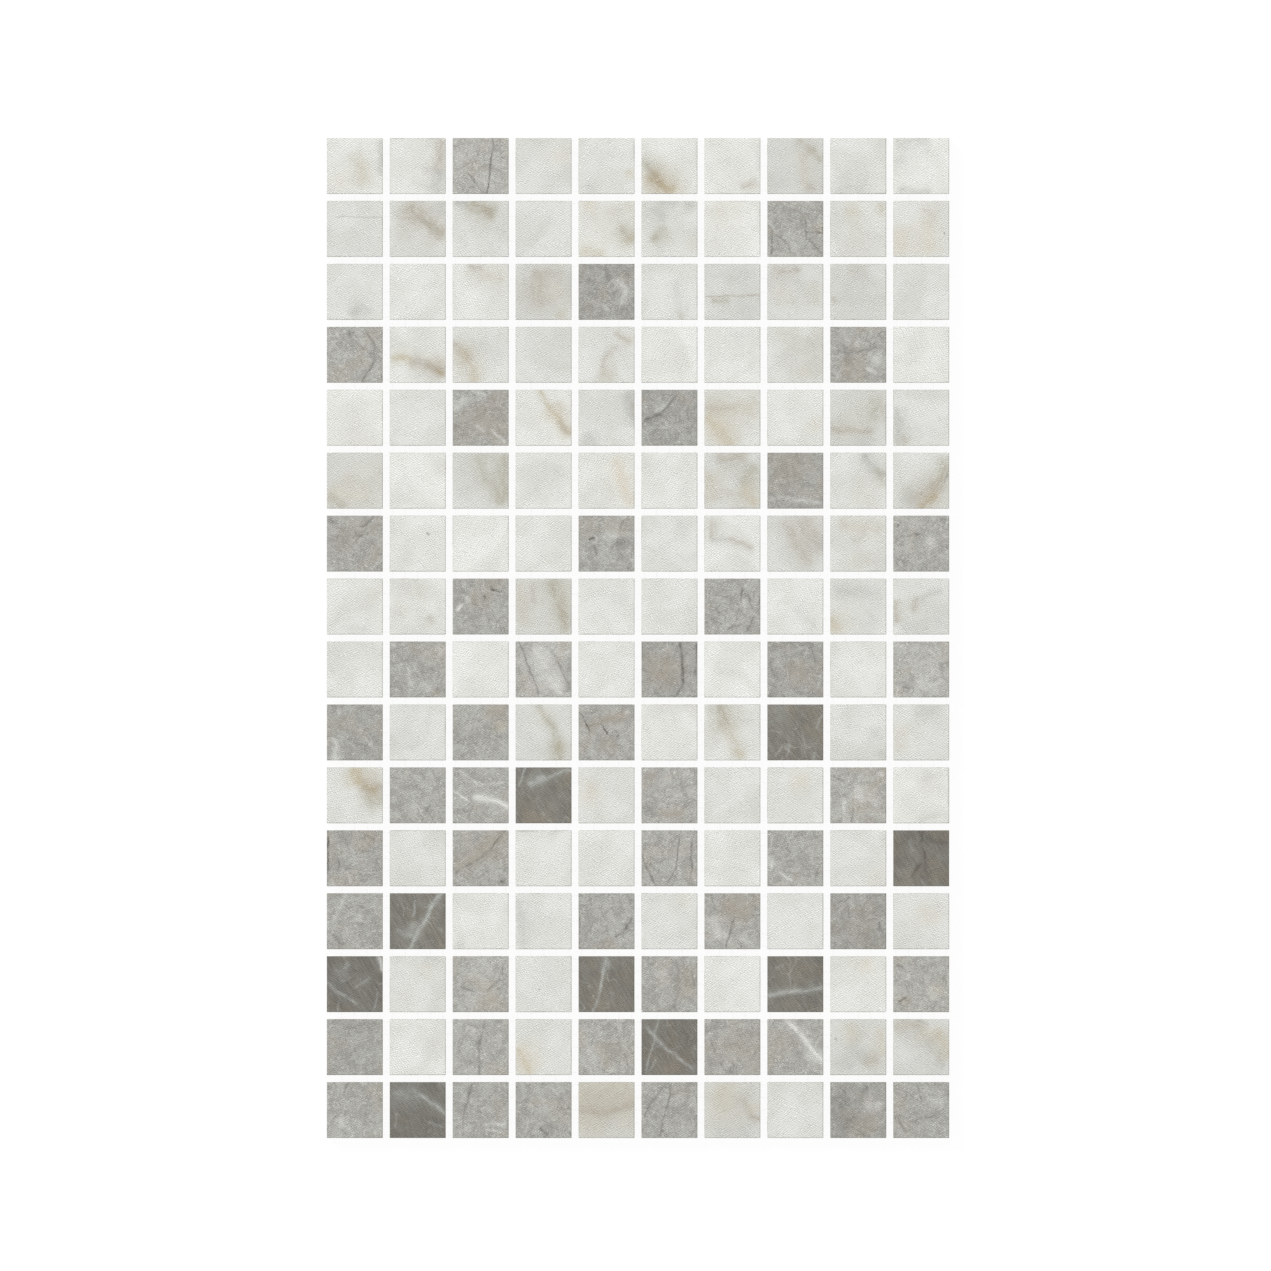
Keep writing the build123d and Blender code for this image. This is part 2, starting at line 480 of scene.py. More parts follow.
    (7, 2): (Vein(Tint.CRACK, (3.4, 4.6), (4.8, 3.8), 0.45, 0.8),),
    (7, 5): (
        Vein(Tint.CHALK, (-2, 4), (4, 3), 1.5, 0.45),
        Vein(Tint.SOOT, (-7, 1.5), (-4.5, 2), 0.45, 0.7),
        Vein(Tint.SOOT, (-5, -1), (-4, -5), 0.35, 0.65),
        Vein(Tint.SOOT, (8, -10), (9.2, -10.4), 0.5, 0.95),
        Vein(Tint.CRACK, (3, -1), (8, 1), 0.7, 0.5),
        Vein(Tint.CRACK, (8, 10), (5, 6), 0.5, 0.5),
    ),
    (7, 6): (Vein(Tint.ASH, (2, 8), (7, 7), 2.5, 0.2),),
    (7, 7): (
        Vein(Tint.UMBER, (-8, 10), (-8.5, 1.5), 1.7, 0.5),
        Vein(Tint.UMBER, (-2, 2.2), (9, -2.5), 1.2, 0.55, 0.5),
        Vein(Tint.ASH, (-9, 1), (-2, 2), 1.2, 0.4),
    ),
    (7, 8): (
        Vein(Tint.UMBER, (-5, 10), (6, -9), 2.0, 0.55),
        Vein(Tint.UMBER, (2, 10), (10.5, -3), 3.0, 0.6),
        Vein(Tint.ASH, (11, 4), (10, -3), 1.2, 0.8),
    ),
    (7, 9): (
        Vein(Tint.BEIGE, (-8, 8.5), (9, 6), 2.0, 0.65),
        Vein(Tint.BEIGE, (-1, -4), (1, -9), 2.8, 0.5),
        Vein(Tint.UMBER, (3, 5), (-2, 0), 1.2, 0.35),
        Vein(Tint.CRACK, (4, -10.8), (9, -10.9), 0.35, 0.3),
    ),
    (7, 10): (
        Vein(Tint.CHALK, (1, 2), (6, 1), 1.5, 0.4),
        Vein(Tint.SOOT, (-9.3, 7.8), (-8.8, 7.2), 0.5, 0.9),
        Vein(Tint.SOOT, (-3, 3.4), (-1, 3.8), 0.6, 0.5),
    ),
    (8, 1): (
        Vein(Tint.BEIGE, (5, 6), (11, 5), 1.8, 0.3),
        Vein(Tint.ASH, (-8, -8), (6, -9), 2.5, 0.18),
    ),
    (8, 2): (
        Vein(Tint.UMBER, (4, -4), (7, -7), 1.3, 0.4),
        Vein(Tint.BEIGE, (1, 9), (3, 2), 1.8, 0.3),
        Vein(Tint.BEIGE, (-10, 0), (-3, -2), 3.0, 0.3),
    ),
    (8, 3): (
        Vein(Tint.RUST, (-4, 3), (4, 1), 2.4, 0.3),
        Vein(Tint.SOOT, (4, 6.6), (8, 6.4), 0.45, 0.9),
        Vein(Tint.SOOT, (4.2, 7), (4.4, 8.5), 0.4, 0.7),
        Vein(Tint.SOOT, (1.4, 4.2), (1.8, 2.6), 0.45, 0.9),
        Vein(Tint.CHALK, (-9.3, -2), (-7.3, 1.5), 0.6, 0.85),
        Vein(Tint.CHALK, (-6, 4), (-4, 3), 0.8, 0.5),
    ),
    (8, 4): (
        Vein(Tint.OLIVE, (2.5, 11.5), (9, -10), 2.4, 0.85, 0.8),
        Vein(Tint.UMBER, (6, 1), (9, -10), 1.2, 0.4),
        Vein(Tint.BEIGE, (-9.5, 10), (-8, -8), 2.2, 0.6),
        Vein(Tint.UMBER, (-4, 10), (-4, 1), 1.1, 0.4),
        Vein(Tint.BEIGE, (8, 9), (10, -2), 2.0, 0.3),
    ),
    (8, 5): (Vein(Tint.ASH, (-2, 3), (9, 4), 2.6, 0.2),),
    (8, 7): (
        Vein(Tint.CHALK, (5, 3), (5, -2), 0.6, 0.4),
        Vein(Tint.CRACK, (4, 7), (3.6, 2), 0.42, 0.9),
        Vein(Tint.CRACK, (6.5, 5), (8, -1), 0.38, 0.7),
        Vein(Tint.CRACK, (9, -4), (6, -10), 0.45, 0.7),
        Vein(Tint.CRACK, (2, -8), (-2, -9), 0.5, 0.5),
        Vein(Tint.CRACK, (-8, -4), (-6, -7), 0.9, 0.4),
    ),
    (8, 8): (Vein(Tint.ASH, (0, -2), (8, -8), 1.6, 0.25),),
    (8, 9): (
        Vein(Tint.OCHRE, (-11, -4), (-8, -11), 2.0, 0.65),
        Vein(Tint.ASH, (-10, 9), (2, 4), 2.5, 0.35),
        Vein(Tint.BEIGE, (-10, -2), (-5, -9), 2.4, 0.35),
        Vein(Tint.ASH, (-10, 6), (9, 6), 2.0, 0.4),
        Vein(Tint.ASH, (2, -4), (8, -8), 5.0, 0.3),
    ),
    (8, 10): (
        Vein(Tint.UMBER, (-1, 4), (-4, -2), 1.5, 0.55),
        Vein(Tint.UMBER, (-10.6, 3), (-9.8, -7), 1.4, 0.6),
        Vein(Tint.ASH, (0, 3), (9, 6.8), 1.2, 0.45),
        Vein(Tint.ASH, (-8, -8), (2, -9), 2.0, 0.35),
        Vein(Tint.ASH, (5, -2), (9, -8), 5.0, 0.35),
    ),
    (9, 2): (
        Vein(Tint.CHALK, (-4, 1), (-3, -6), 0.9, 0.4),
        Vein(Tint.CHALK, (2, -5), (5, -8), 1.2, 0.4),
        Vein(Tint.CHALK, (7, 10), (10, 6), 1.0, 0.35),
        Vein(Tint.RUST, (6, -10), (9, -9), 1.2, 0.45),
        Vein(Tint.CRACK, (-6, -5), (-4, -8), 0.5, 0.45),
        Vein(Tint.CRACK, (5, 1), (7, -1), 0.8, 0.35),
    ),
    (9, 4): (
        Vein(Tint.CHALK, (-4, 9), (3, 2), 3.0, 0.65),
        Vein(Tint.CHALK, (1, 0), (6, -8), 3.2, 0.65),
        Vein(Tint.CHALK, (4, -6), (7, -10), 1.2, 0.6),
        Vein(Tint.CRACK, (-10, 11), (-2, -11), 0.34, 0.65, 0.6),
        Vein(Tint.CRACK, (3, 8), (10, -6), 0.5, 0.5),
        Vein(Tint.CRACK, (9.8, 4), (10.2, -9), 1.2, 0.4),
    ),
    (9, 6): (
        Vein(Tint.RUST, (-3, 3), (0, -6), 5.0, 0.55),
        Vein(Tint.SOOT, (4.3, 11), (5.8, 0), 0.6, 0.75),
        Vein(Tint.SOOT, (6, 1), (5.4, -5), 0.6, 0.75),
        Vein(Tint.SOOT, (5.5, -5), (3, -10.5), 0.45, 0.6),
        Vein(Tint.SOOT, (10.7, 11), (10.5, -2), 0.5, 0.6),
        Vein(Tint.CRACK, (-11, 9), (-10.5, 0), 0.6, 0.4),
    ),
    (9, 8): (
        Vein(Tint.RUST, (0, 3), (2, -6), 3.0, 0.5),
        Vein(Tint.CRACK, (6, 10.5), (7.8, 2), 0.4, 0.65),
        Vein(Tint.SOOT, (-9.2, 0.2), (-8.8, -0.4), 0.4, 0.6),
        Vein(Tint.CRACK, (-9, -1), (-7, -3), 0.6, 0.35),
    ),
    (9, 10): (
        Vein(Tint.CHALK, (-6, 3), (8, 4), 5.0, 0.15),
        Vein(Tint.CHALK, (-2, -5), (8, -6), 2.0, 0.3),
        Vein(Tint.CRACK, (-8, -7), (-3, -8), 0.4, 0.7),
        Vein(Tint.CRACK, (3, -5), (9, -3), 0.4, 0.3),
    ),
    (10, 1): (
        Vein(Tint.CHALK, (-9, -2), (-7, -6), 1.0, 0.55),
        Vein(Tint.CHALK, (-7.2, -5.5), (-8, -11), 1.2, 0.6),
        Vein(Tint.CHALK, (-9, -9.5), (-6, -10.5), 1.0, 0.45),
        Vein(Tint.CHALK, (-7, 9.5), (-6, 7), 0.8, 0.4),
    ),
    (10, 2): (Vein(Tint.ASH, (-8, 0), (2, -4), 2.5, 0.2),),
    (10, 3): (
        Vein(Tint.RUST, (2, 8), (9, 9), 2.0, 0.55),
        Vein(Tint.OCHRE, (7, 4), (9, 1), 1.5, 0.35),
        Vein(Tint.SOOT, (-9.3, -4), (-8.7, -4.4), 0.5, 0.6),
        Vein(Tint.CRACK, (-9, -3), (-7, -5), 0.5, 0.4),
    ),
    (10, 4): (
        Vein(Tint.OLIVE, (-2.5, 12), (2, 4), 1.1, 0.6),
        Vein(Tint.OLIVE, (1.5, 6), (6, -3), 1.4, 0.75),
        Vein(Tint.OLIVE, (5.8, -2.5), (6, -12), 1.7, 0.9),
        Vein(Tint.HONEY, (7.2, -5), (7.4, -8), 0.9, 0.25),
        Vein(Tint.BEIGE, (-2, 9), (2, 5), 2.2, 0.4),
    ),
    (10, 5): (
        Vein(Tint.RUST, (-6, 3), (8.5, 8), 1.2, 0.8),
        Vein(Tint.RUST, (-3, -5), (4, -6), 2.0, 0.45),
        Vein(Tint.SOOT, (-11, 8), (-6.6, 0), 0.26, 0.85, 0.6),
        Vein(Tint.SOOT, (-2.5, 3.5), (0.5, -1), 0.24, 0.85),
        Vein(Tint.SOOT, (4.8, -1), (3.8, -2), 0.4, 0.75),
        Vein(Tint.CHALK, (7.8, 9), (9, 7.8), 0.9, 0.5),
    ),
    (10, 7): (
        Vein(Tint.OLIVE, (-5, 12), (-2.2, 1), 2.2, 0.85),
        Vein(Tint.BEIGE, (-2.4, 3), (3, -10.5), 1.7, 0.8),
        Vein(Tint.OCHRE, (1.5, -7), (4, -10), 1.2, 0.4),
        Vein(Tint.BEIGE, (-2, 9), (0, 0), 2.6, 0.3),
    ),
    (10, 8): (
        Vein(Tint.FROST, (-5.3, -5), (-8.6, -10), 0.4, 0.38),
        Vein(Tint.FROST, (-2.4, -4.5), (-4, -9.5), 0.36, 0.32),
        Vein(Tint.FROST, (10.8, 7), (8.5, 1.5), 0.42, 0.5),
        Vein(Tint.FROST, (2.4, 1), (4.2, -6), 0.36, 0.2),
        Vein(Tint.FROST, (-9, 9), (-4, 7), 3.0, 0.2),
        Vein(Tint.FROST, (7, -11), (8.2, -8), 0.42, 0.4),
    ),
    (10, 9): (
        Vein(Tint.ASH, (8, -7), (11, -10), 1.4, 0.5),
        Vein(Tint.ASH, (6, 2), (8, -3), 1.6, 0.3),
    ),
    (10, 10): (
        Vein(Tint.PEACH, (-9, 3), (-9, -8), 2.8, 0.35),
        Vein(Tint.ASH, (-2, 8), (8, 10), 2.5, 0.25),
    ),
    (11, 1): (
        Vein(Tint.OCHRE, (0, 11), (2, 3.5), 2.2, 0.9),
        Vein(Tint.UMBER, (2, 4), (12, 2), 2.2, 0.9),
        Vein(Tint.OLIVE, (5, 1), (11, -4.5), 2.4, 0.75),
        Vein(Tint.HONEY, (3, 4), (9, 1.5), 1.5, 0.5),
        Vein(Tint.BEIGE, (4, 10), (9, 6), 3.0, 0.4),
    ),
    (11, 3): (
        Vein(Tint.CHALK, (-11, 1.8), (-4, -2.6), 0.5, 0.75),
        Vein(Tint.CHALK, (-2.5, -0.3), (11.5, -4.5), 1.1, 1.0, 0.3),
        Vein(Tint.CHALK, (-9, 10), (0.5, 4), 0.45, 0.35),
        Vein(Tint.CHALK, (0, 5), (10, 5.5), 0.4, 0.45, -0.6),
        Vein(Tint.RUST, (-3, -4), (-1, -6), 1.2, 0.3),
    ),
    (11, 4): (
        Vein(Tint.FROST, (-7.2, 10.8), (-9.8, 4), 0.45, 0.6),
        Vein(Tint.FROST, (-6, 3.8), (1, 7.2), 1.3, 0.6),
        Vein(Tint.FROST, (-2.8, 6), (0.5, 7.6), 1.1, 0.55),
        Vein(Tint.FROST, (1, 7), (11, 10.4), 0.8, 0.5),
        Vein(Tint.RUST, (-8, -9), (4, -8), 3.0, 0.2),
    ),
    (11, 5): (
        Vein(Tint.PEACH, (-10, -2), (-3, 3), 2.8, 0.4),
        Vein(Tint.BEIGE, (-8, 3), (-3, 4), 1.6, 0.3),
    ),
    (11, 6): (
        Vein(Tint.RUST, (-4, -6.5), (6, -7.2), 1.5, 0.65),
        Vein(Tint.RUST, (-9, 9), (-6, 6), 1.8, 0.4),
        Vein(Tint.CRACK, (-11, -4), (-6, -8), 1.4, 0.35),
        Vein(Tint.CRACK, (3, 9), (8, -4), 0.9, 0.25),
    ),
    (11, 8): (Vein(Tint.PEACH, (-2, 6.5), (6, 6), 2.3, 0.45),),
    (11, 9): (
        Vein(Tint.CHALK, (-1, 3), (2, -2), 1.6, 0.6),
        Vein(Tint.CHALK, (4, -1), (9, -4), 1.5, 0.3),
        Vein(Tint.CHALK, (8, 9), (10.5, 8), 0.9, 0.5),
        Vein(Tint.CHALK, (-5.5, -1), (-6.3, -10.5), 0.6, 0.45),
        Vein(Tint.CRACK, (-2.2, -5), (-2.7, -11), 0.4, 0.65),
    ),
    (11, 10): (
        Vein(Tint.ASH, (0, 7), (9, 9), 1.4, 0.25),
        Vein(Tint.ASH, (-2, -10), (10, -8), 1.6, 0.35),
        Vein(Tint.CRACK, (11.1, 11), (11.1, -11), 0.3, 0.4),
    ),
    (12, 1): (
        Vein(Tint.SOOT, (-10.9, 13), (-10.9, -13), 0.34, 0.85),
        Vein(Tint.CRACK, (-6.3, 0), (-6, -4), 0.45, 0.7),
        Vein(Tint.CRACK, (-6, 9), (-2, 6), 1.2, 0.35),
        Vein(Tint.RUST, (4, 8), (7, 5), 2.0, 0.55),
        Vein(Tint.CRACK, (4, 9.5), (9, 6.5), 0.45, 0.5),
    ),
    (12, 2): (Vein(Tint.CRACK, (-11, 11.1), (11, 11.1), 0.25, 0.35),),
    (12, 3): (
        Vein(Tint.RUST, (-10, -5), (9, 10), 2.0, 0.6),
        Vein(Tint.RUST, (2, 3), (8, 2), 2.0, 0.45),
        Vein(Tint.CRACK, (-11, -6.6), (-1.5, -0.5), 0.4, 0.75),
        Vein(Tint.CRACK, (-2, -1), (4.5, 4), 0.36, 0.7),
        Vein(Tint.CRACK, (4, 3.5), (10, 12), 0.4, 0.8),
        Vein(Tint.SOOT, (8, -9), (8.8, -9.8), 0.5, 0.75),
    ),
    (12, 4): (Vein(Tint.CRACK, (-11, 11.1), (11, 11.1), 0.25, 0.35),),
    (12, 6): (
        Vein(Tint.CRACK, (-10.8, 2), (-5.5, -11), 0.38, 0.8, -0.6),
        Vein(Tint.CRACK, (-8, -2), (-6, -5), 0.45, 0.6),
        Vein(Tint.CRACK, (3.8, 8.5), (2.3, -3.5), 0.34, 0.8),
        Vein(Tint.CRACK, (2.5, -3), (-0.8, -10), 0.3, 0.7),
        Vein(Tint.CRACK, (9, 7.5), (8, -9.5), 0.42, 0.75, 0.5),
        Vein(Tint.RUST, (6, 7), (7, 1), 2.0, 0.25),
    ),
    (12, 8): (
        Vein(Tint.CHALK, (-10.3, 1), (-9.5, -4), 1.1, 0.65),
        Vein(Tint.CHALK, (-7, -4.5), (-1, -9), 0.45, 0.65, -0.5),
        Vein(Tint.CHALK, (-10, 3), (-9, 9), 0.7, 0.35),
        Vein(Tint.CRACK, (11, -2), (7.5, -10), 0.45, 0.6, -0.5),
        Vein(Tint.CRACK, (-10.5, 8), (-10, 4), 0.6, 0.3),
    ),
    (12, 9): (Vein(Tint.PEACH, (5, -6), (9, -9), 2.5, 0.3),),
    (12, 10): (
        Vein(Tint.SOOT, (0, 11), (0.5, 6), 1.1, 0.7),
        Vein(Tint.SOOT, (1, 3.5), (1.6, -5), 0.55, 0.85),
        Vein(Tint.SOOT, (0, -2), (-4, -7.5), 0.7, 0.7),
        Vein(Tint.SOOT, (2, 8), (11, 4.5), 1.5, 0.5),
        Vein(Tint.RUST, (-7, -7), (-3, -9), 2.5, 0.3),
        Vein(Tint.FROST, (-5, 7), (-3, 3), 0.6, 0.2),
    ),
    (13, 1): (
        Vein(Tint.CHALK, (-8.5, 0), (-5, 9), 0.8, 0.35),
        Vein(Tint.CRACK, (-8.5, -5), (-4.5, -9.5), 0.7, 0.5),
        Vein(Tint.CHALK, (-2, 3), (2, 2), 0.5, 0.3),
        Vein(Tint.CRACK, (3, -8), (4, -10.5), 0.4, 0.5),
    ),
    (13, 2): (
        Vein(Tint.FROST, (10.2, 14), (-4.5, -13.5), 0.85, 0.85),
        Vein(Tint.FROST, (-1.2, 8), (-2, 2), 0.5, 0.5),
        Vein(Tint.FROST, (-1, 0), (-3.5, -7), 1.4, 0.45),
        Vein(Tint.FROST, (-9, -3), (-3, -6.5), 0.9, 0.35),
    ),
    (13, 3): (Vein(Tint.ASH, (-10, -10), (-6, -11), 1.4, 0.4),),
    (13, 4): (
        Vein(Tint.ASH, (-10, 9), (-8.5, -10), 1.6, 0.45),
        Vein(Tint.ASH, (-9, 4), (-7, -3), 1.6, 0.3),
    ),
    (13, 5): (
        Vein(Tint.SOOT, (3.5, -6), (7, -4.5), 0.4, 0.6),
        Vein(Tint.SOOT, (7.5, -3.5), (9.8, 1), 0.55, 0.6),
        Vein(Tint.CRACK, (8, 10), (10.5, 7), 0.8, 0.5),
        Vein(Tint.CRACK, (-11.1, 12), (-11.1, -12), 0.3, 0.7),
        Vein(Tint.CRACK, (-9, -4), (-7, -9), 0.5, 0.35),
    ),
    (13, 6): (
        Vein(Tint.ASH, (-10, 8), (-4, 9), 1.6, 0.25),
        Vein(Tint.PEACH, (4, 10), (8, 6), 2.5, 0.25),
    ),
    (13, 7): (
        Vein(Tint.RUST, (-4, 8), (7, 2), 3.2, 0.65),
        Vein(Tint.CHALK, (-8.5, 2), (-5, -7), 1.6, 0.5),
        Vein(Tint.CHALK, (-3, -5), (0, -9), 1.2, 0.4),
        Vein(Tint.CRACK, (0.5, 1), (-2.7, -11.5), 0.38, 0.8),
        Vein(Tint.CHALK, (3, -7.5), (8.5, -9.5), 1.3, 0.42),
        Vein(Tint.CRACK, (-8.5, 10), (-7, 5), 0.35, 0.6),
    ),
    (13, 9): (
        Vein(Tint.RUST, (-2, 2), (4, -6), 5.0, 0.35),
        Vein(Tint.SOOT, (8.3, -0.5), (8.4, -3.5), 0.5, 0.6),
        Vein(Tint.CRACK, (3.5, 0), (7.5, 1), 0.4, 0.4),
        Vein(Tint.CHALK, (-4, 8.5), (-1.5, 6), 0.9, 0.35),
        Vein(Tint.CRACK, (4, -8), (7, -10), 0.6, 0.4),
    ),
    (13, 10): (
        Vein(Tint.PEACH, (-1, 6.5), (4, -1), 2.4, 0.38),
        Vein(Tint.PEACH, (4, 2), (8, 0), 2.0, 0.25),
    ),
    (14, 1): (
        Vein(Tint.FROST, (-10.8, 0.3), (1, -7.5), 0.55, 0.5, -0.5),
        Vein(Tint.FROST, (0, -1.5), (6, 2.5), 0.55, 0.28),
        Vein(Tint.CHALK, (9.6, 11.2), (11.2, 4.5), 0.9, 0.65),
        Vein(Tint.FROST, (-9, 6), (-3, 3), 2.2, 0.22),
        Vein(Tint.FROST, (9.3, -3), (7.8, -10.5), 0.34, 0.34),
        Vein(Tint.FROST, (-6, -6), (-7.5, -11), 0.34, 0.38),
    ),
    (14, 2): (
        Vein(Tint.PEACH, (3, 9), (5, 2), 2.5, 0.2),
        Vein(Tint.ASH, (2, 10), (9, 9), 2.0, 0.35),
        Vein(Tint.BEIGE, (-8, -3), (-2, -9), 3.0, 0.2),
    ),
    (14, 3): (
        Vein(Tint.CHALK, (-4, 4), (4, 4), 5.0, 0.22),
        Vein(Tint.RUST, (-2, -7), (8, -6), 3.0, 0.4),
        Vein(Tint.CRACK, (9, 8.5), (8.6, 4), 0.42, 0.75),
        Vein(Tint.CRACK, (-8.5, -1), (-3, -2.8), 0.45, 0.6),
        Vein(Tint.CHALK, (-8, -3), (2, -3.6), 0.5, 0.25),
        Vein(Tint.CRACK, (2, -2.8), (8.5, 2.5), 0.36, 0.55),
    ),
    (14, 4): (
        Vein(Tint.CRACK, (-2, -2.2), (-1.5, -2.4), 0.35, 0.6),
        Vein(Tint.ASH, (-6, 3), (6, -4), 7.0, 0.12),
    ),
    (14, 5): (
        Vein(Tint.FROST, (0, 11.2), (-1.5, 5), 1.0, 0.6),
        Vein(Tint.FROST, (-1.6, 6), (-2.6, -3.5), 0.6, 0.7),
        Vein(Tint.FROST, (-2.6, -3.5), (-6, -11), 0.55, 0.6),
        Vein(Tint.FROST, (0.3, 9.5), (1, 7), 0.9, 0.3),
        Vein(Tint.RUST, (-6, -8), (8, -9), 3.0, 0.2),
    ),
    (14, 6): (
        Vein(Tint.CRACK, (2.5, 9.5), (3.6, -2), 1.0, 0.55),
        Vein(Tint.CRACK, (3.6, -2), (2, -10), 0.8, 0.45),
        Vein(Tint.RUST, (7.5, 7), (7, -6), 2.6, 0.42),
        Vein(Tint.CRACK, (8.5, 9.5), (10.5, -1), 0.5, 0.4),
        Vein(Tint.CHALK, (-6, 4), (-1, 4), 1.2, 0.4),
    ),
    (14, 8): (
        Vein(Tint.FROST, (-11.2, -4.6), (4, -2.6), 0.85, 0.7, 0.4),
        Vein(Tint.FROST, (4, -2.8), (11.2, -0.8), 0.85, 0.6),
        Vein(Tint.SOOT, (-8, -6), (5, -4.2), 0.5, 0.3),
        Vein(Tint.RUST, (-8, 4), (4, 4), 4.0, 0.18),
        Vein(Tint.FROST, (-2.2, 10), (-2, 0), 0.4, 0.2),
    ),
    (14, 9): (
        Vein(Tint.PEACH, (1, 5), (5, 10.5), 2.2, 0.4),
        Vein(Tint.BEIGE, (2, 9), (4, 9.5), 1.2, 0.2),
    ),
    (14, 10): (
        Vein(Tint.SOOT, (-9, -7.5), (-6, -5.5), 0.4, 0.6),
        Vein(Tint.CRACK, (-10, 8), (-7, 6.5), 0.6, 0.5),
        Vein(Tint.CRACK, (0, 3), (1, 0), 0.7, 0.35),
        Vein(Tint.RUST, (-8, -9), (-4, -10), 2.0, 0.4),
        Vein(Tint.CHALK, (2, 4), (5, -6), 1.2, 0.3),
        Vein(Tint.OCHRE, (4, 0), (8, -4), 2.0, 0.2),
    ),
    (15, 3): (
        Vein(Tint.CRACK, (2, 11), (-0.5, 0), 0.38, 0.7),
        Vein(Tint.CRACK, (-0.5, 0), (-0.8, -11), 0.35, 0.6),
        Vein(Tint.CRACK, (-6, 6), (-0.8, -1), 0.3, 0.5),
        Vein(Tint.CHALK, (-5, 9), (-2, 4), 0.5, 0.2),
    ),
    (15, 4): (
        Vein(Tint.OCHRE, (-11, 0), (-4.5, -11), 1.8, 0.65),
        Vein(Tint.PEACH, (-10.5, 2), (-4, -10), 3.0, 0.4),
    ),
    (15, 5): (
        Vein(Tint.CRACK, (1, 2), (4, -4), 2.2, 0.35),
        Vein(Tint.CRACK, (1.5, 11), (0.8, 8), 0.45, 0.55),
        Vein(Tint.CRACK, (7, -3), (9, -8), 0.4, 0.4),
        Vein(Tint.CRACK, (3, 8), (5, 4), 0.6, 0.3),
        Vein(Tint.CHALK, (-7, 0), (-4, -6), 1.5, 0.3),
    ),
    (15, 6): (
        Vein(Tint.FROST, (-9.5, 8), (10, -9), 0.58, 0.65, -0.8),
        Vein(Tint.FROST, (-3.8, 12), (-9.8, -10), 0.46, 0.45),
        Vein(Tint.FROST, (-5, -4), (-8, -9.5), 0.42, 0.35),
        Vein(Tint.RUST, (-6, -10), (4, -8), 2.4, 0.2),
        Vein(Tint.SOOT, (2, 6), (8, 2), 5.0, 0.12),
    ),
    (15, 7): (
        Vein(Tint.RUST, (0, 4), (4, -2), 6.0, 0.35),
        Vein(Tint.CRACK, (-11, 5.5), (-6.5, 8), 0.45, 0.5),
        Vein(Tint.CRACK, (-5.2, -6), (-2, -10.5), 0.45, 0.55),
        Vein(Tint.RUST, (6, -6), (10, -9), 2.0, 0.4),
        Vein(Tint.CRACK, (-9, 4), (-7, -3), 0.4, 0.45),
    ),
    (15, 8): (
        Vein(Tint.RUST, (-7, 6), (-4, -2), 4.0, 0.35),
        Vein(Tint.CHALK, (-3.6, 11.2), (11.2, -6.5), 1.0, 0.95, 0.3),
        Vein(Tint.CHALK, (5, -2), (10, -7), 2.2, 0.4),
    ),
    (15, 9): (
        Vein(Tint.UMBER, (1.5, -6.5), (8.5, -4), 2.1, 0.62),
        Vein(Tint.OCHRE, (-3.5, 10), (-2, 1), 2.0, 0.4),
        Vein(Tint.ASH, (-4, 0), (4, -5), 2.6, 0.5),
        Vein(Tint.OCHRE, (8, 8), (10, -3), 1.8, 0.4),
        Vein(Tint.ASH, (-8, -4), (-2, -9), 3.0, 0.35),
        Vein(Tint.CRACK, (-9.5, 3.5), (-8.5, 3), 0.4, 0.4),
    ),
    (15, 10): (
        Vein(Tint.UMBER, (-10.5, 8.5), (1, 7), 2.2, 0.6, 0.8),
        Vein(Tint.BEIGE, (0, 7), (6, 2), 2.0, 0.6),
        Vein(Tint.ASH, (3, 4), (9, -9), 2.0, 0.75),
        Vein(Tint.OCHRE, (6, 7), (11, -5), 2.0, 0.55, 0.6),
        Vein(Tint.CRACK, (-2, 10.5), (3, 9), 0.5, 0.3),
    ),
    (16, 1): (
        Vein(Tint.CHALK, (-6.5, -3), (-5, -7), 1.2, 0.5),
        Vein(Tint.CRACK, (-3, 11), (-5, 6), 0.4, 0.55),
        Vein(Tint.CRACK, (-7.5, -6), (-6, -10), 0.4, 0.4),
        Vein(Tint.CHALK, (-8, -8), (-6, -10), 1.0, 0.3),
    ),
    (16, 2): (
        Vein(Tint.FROST, (-10.5, 5), (1, 6), 2.3, 0.36, 0.8),
        Vein(Tint.FROST, (0.5, 6), (11.5, -1.8), 0.85, 0.65, 0.4),
        Vein(Tint.FROST, (-8.5, -1), (-9, -7.5), 0.6, 0.3),
        Vein(Tint.FROST, (8, 11), (11, 9.5), 0.9, 0.3),
        Vein(Tint.FROST, (4, -5), (10, -7), 0.5, 0.3),
    ),
    (16, 3): (
        Vein(Tint.CRACK, (-3.5, 11), (-7, -2.5), 0.42, 0.65),
        Vein(Tint.CRACK, (-7, -2.5), (-7.6, -11), 0.36, 0.5),
        Vein(Tint.CHALK, (1, -6), (10, -7.2), 0.8, 0.45, 0.6),
        Vein(Tint.CHALK, (2, -8), (9, -9), 0.5, 0.35),
        Vein(Tint.CHALK, (-9, -9), (-4, -6), 1.0, 0.3),
    ),
    (16, 4): (
        Vein(Tint.SOOT, (-1.5, -7), (1.2, -9.8), 0.45, 0.95),
        Vein(Tint.CHALK, (-2, 4), (3, 1), 2.5, 0.2),
    ),
    (16, 5): (
        Vein(Tint.BEIGE, (-14, 6.5), (14, 7.5), 5.5, 0.9),
        Vein(Tint.BEIGE, (-14, -4), (-1, -8), 4.0, 0.65),
        Vein(Tint.OLIVE, (-12, 4), (11, 6), 5.0, 0.46),
        Vein(Tint.UMBER, (-12, 0.5), (3, -0.8), 1.8, 0.75, -0.6),
        Vein(Tint.UMBER, (2, -0.6), (12, 3), 1.3, 0.9),
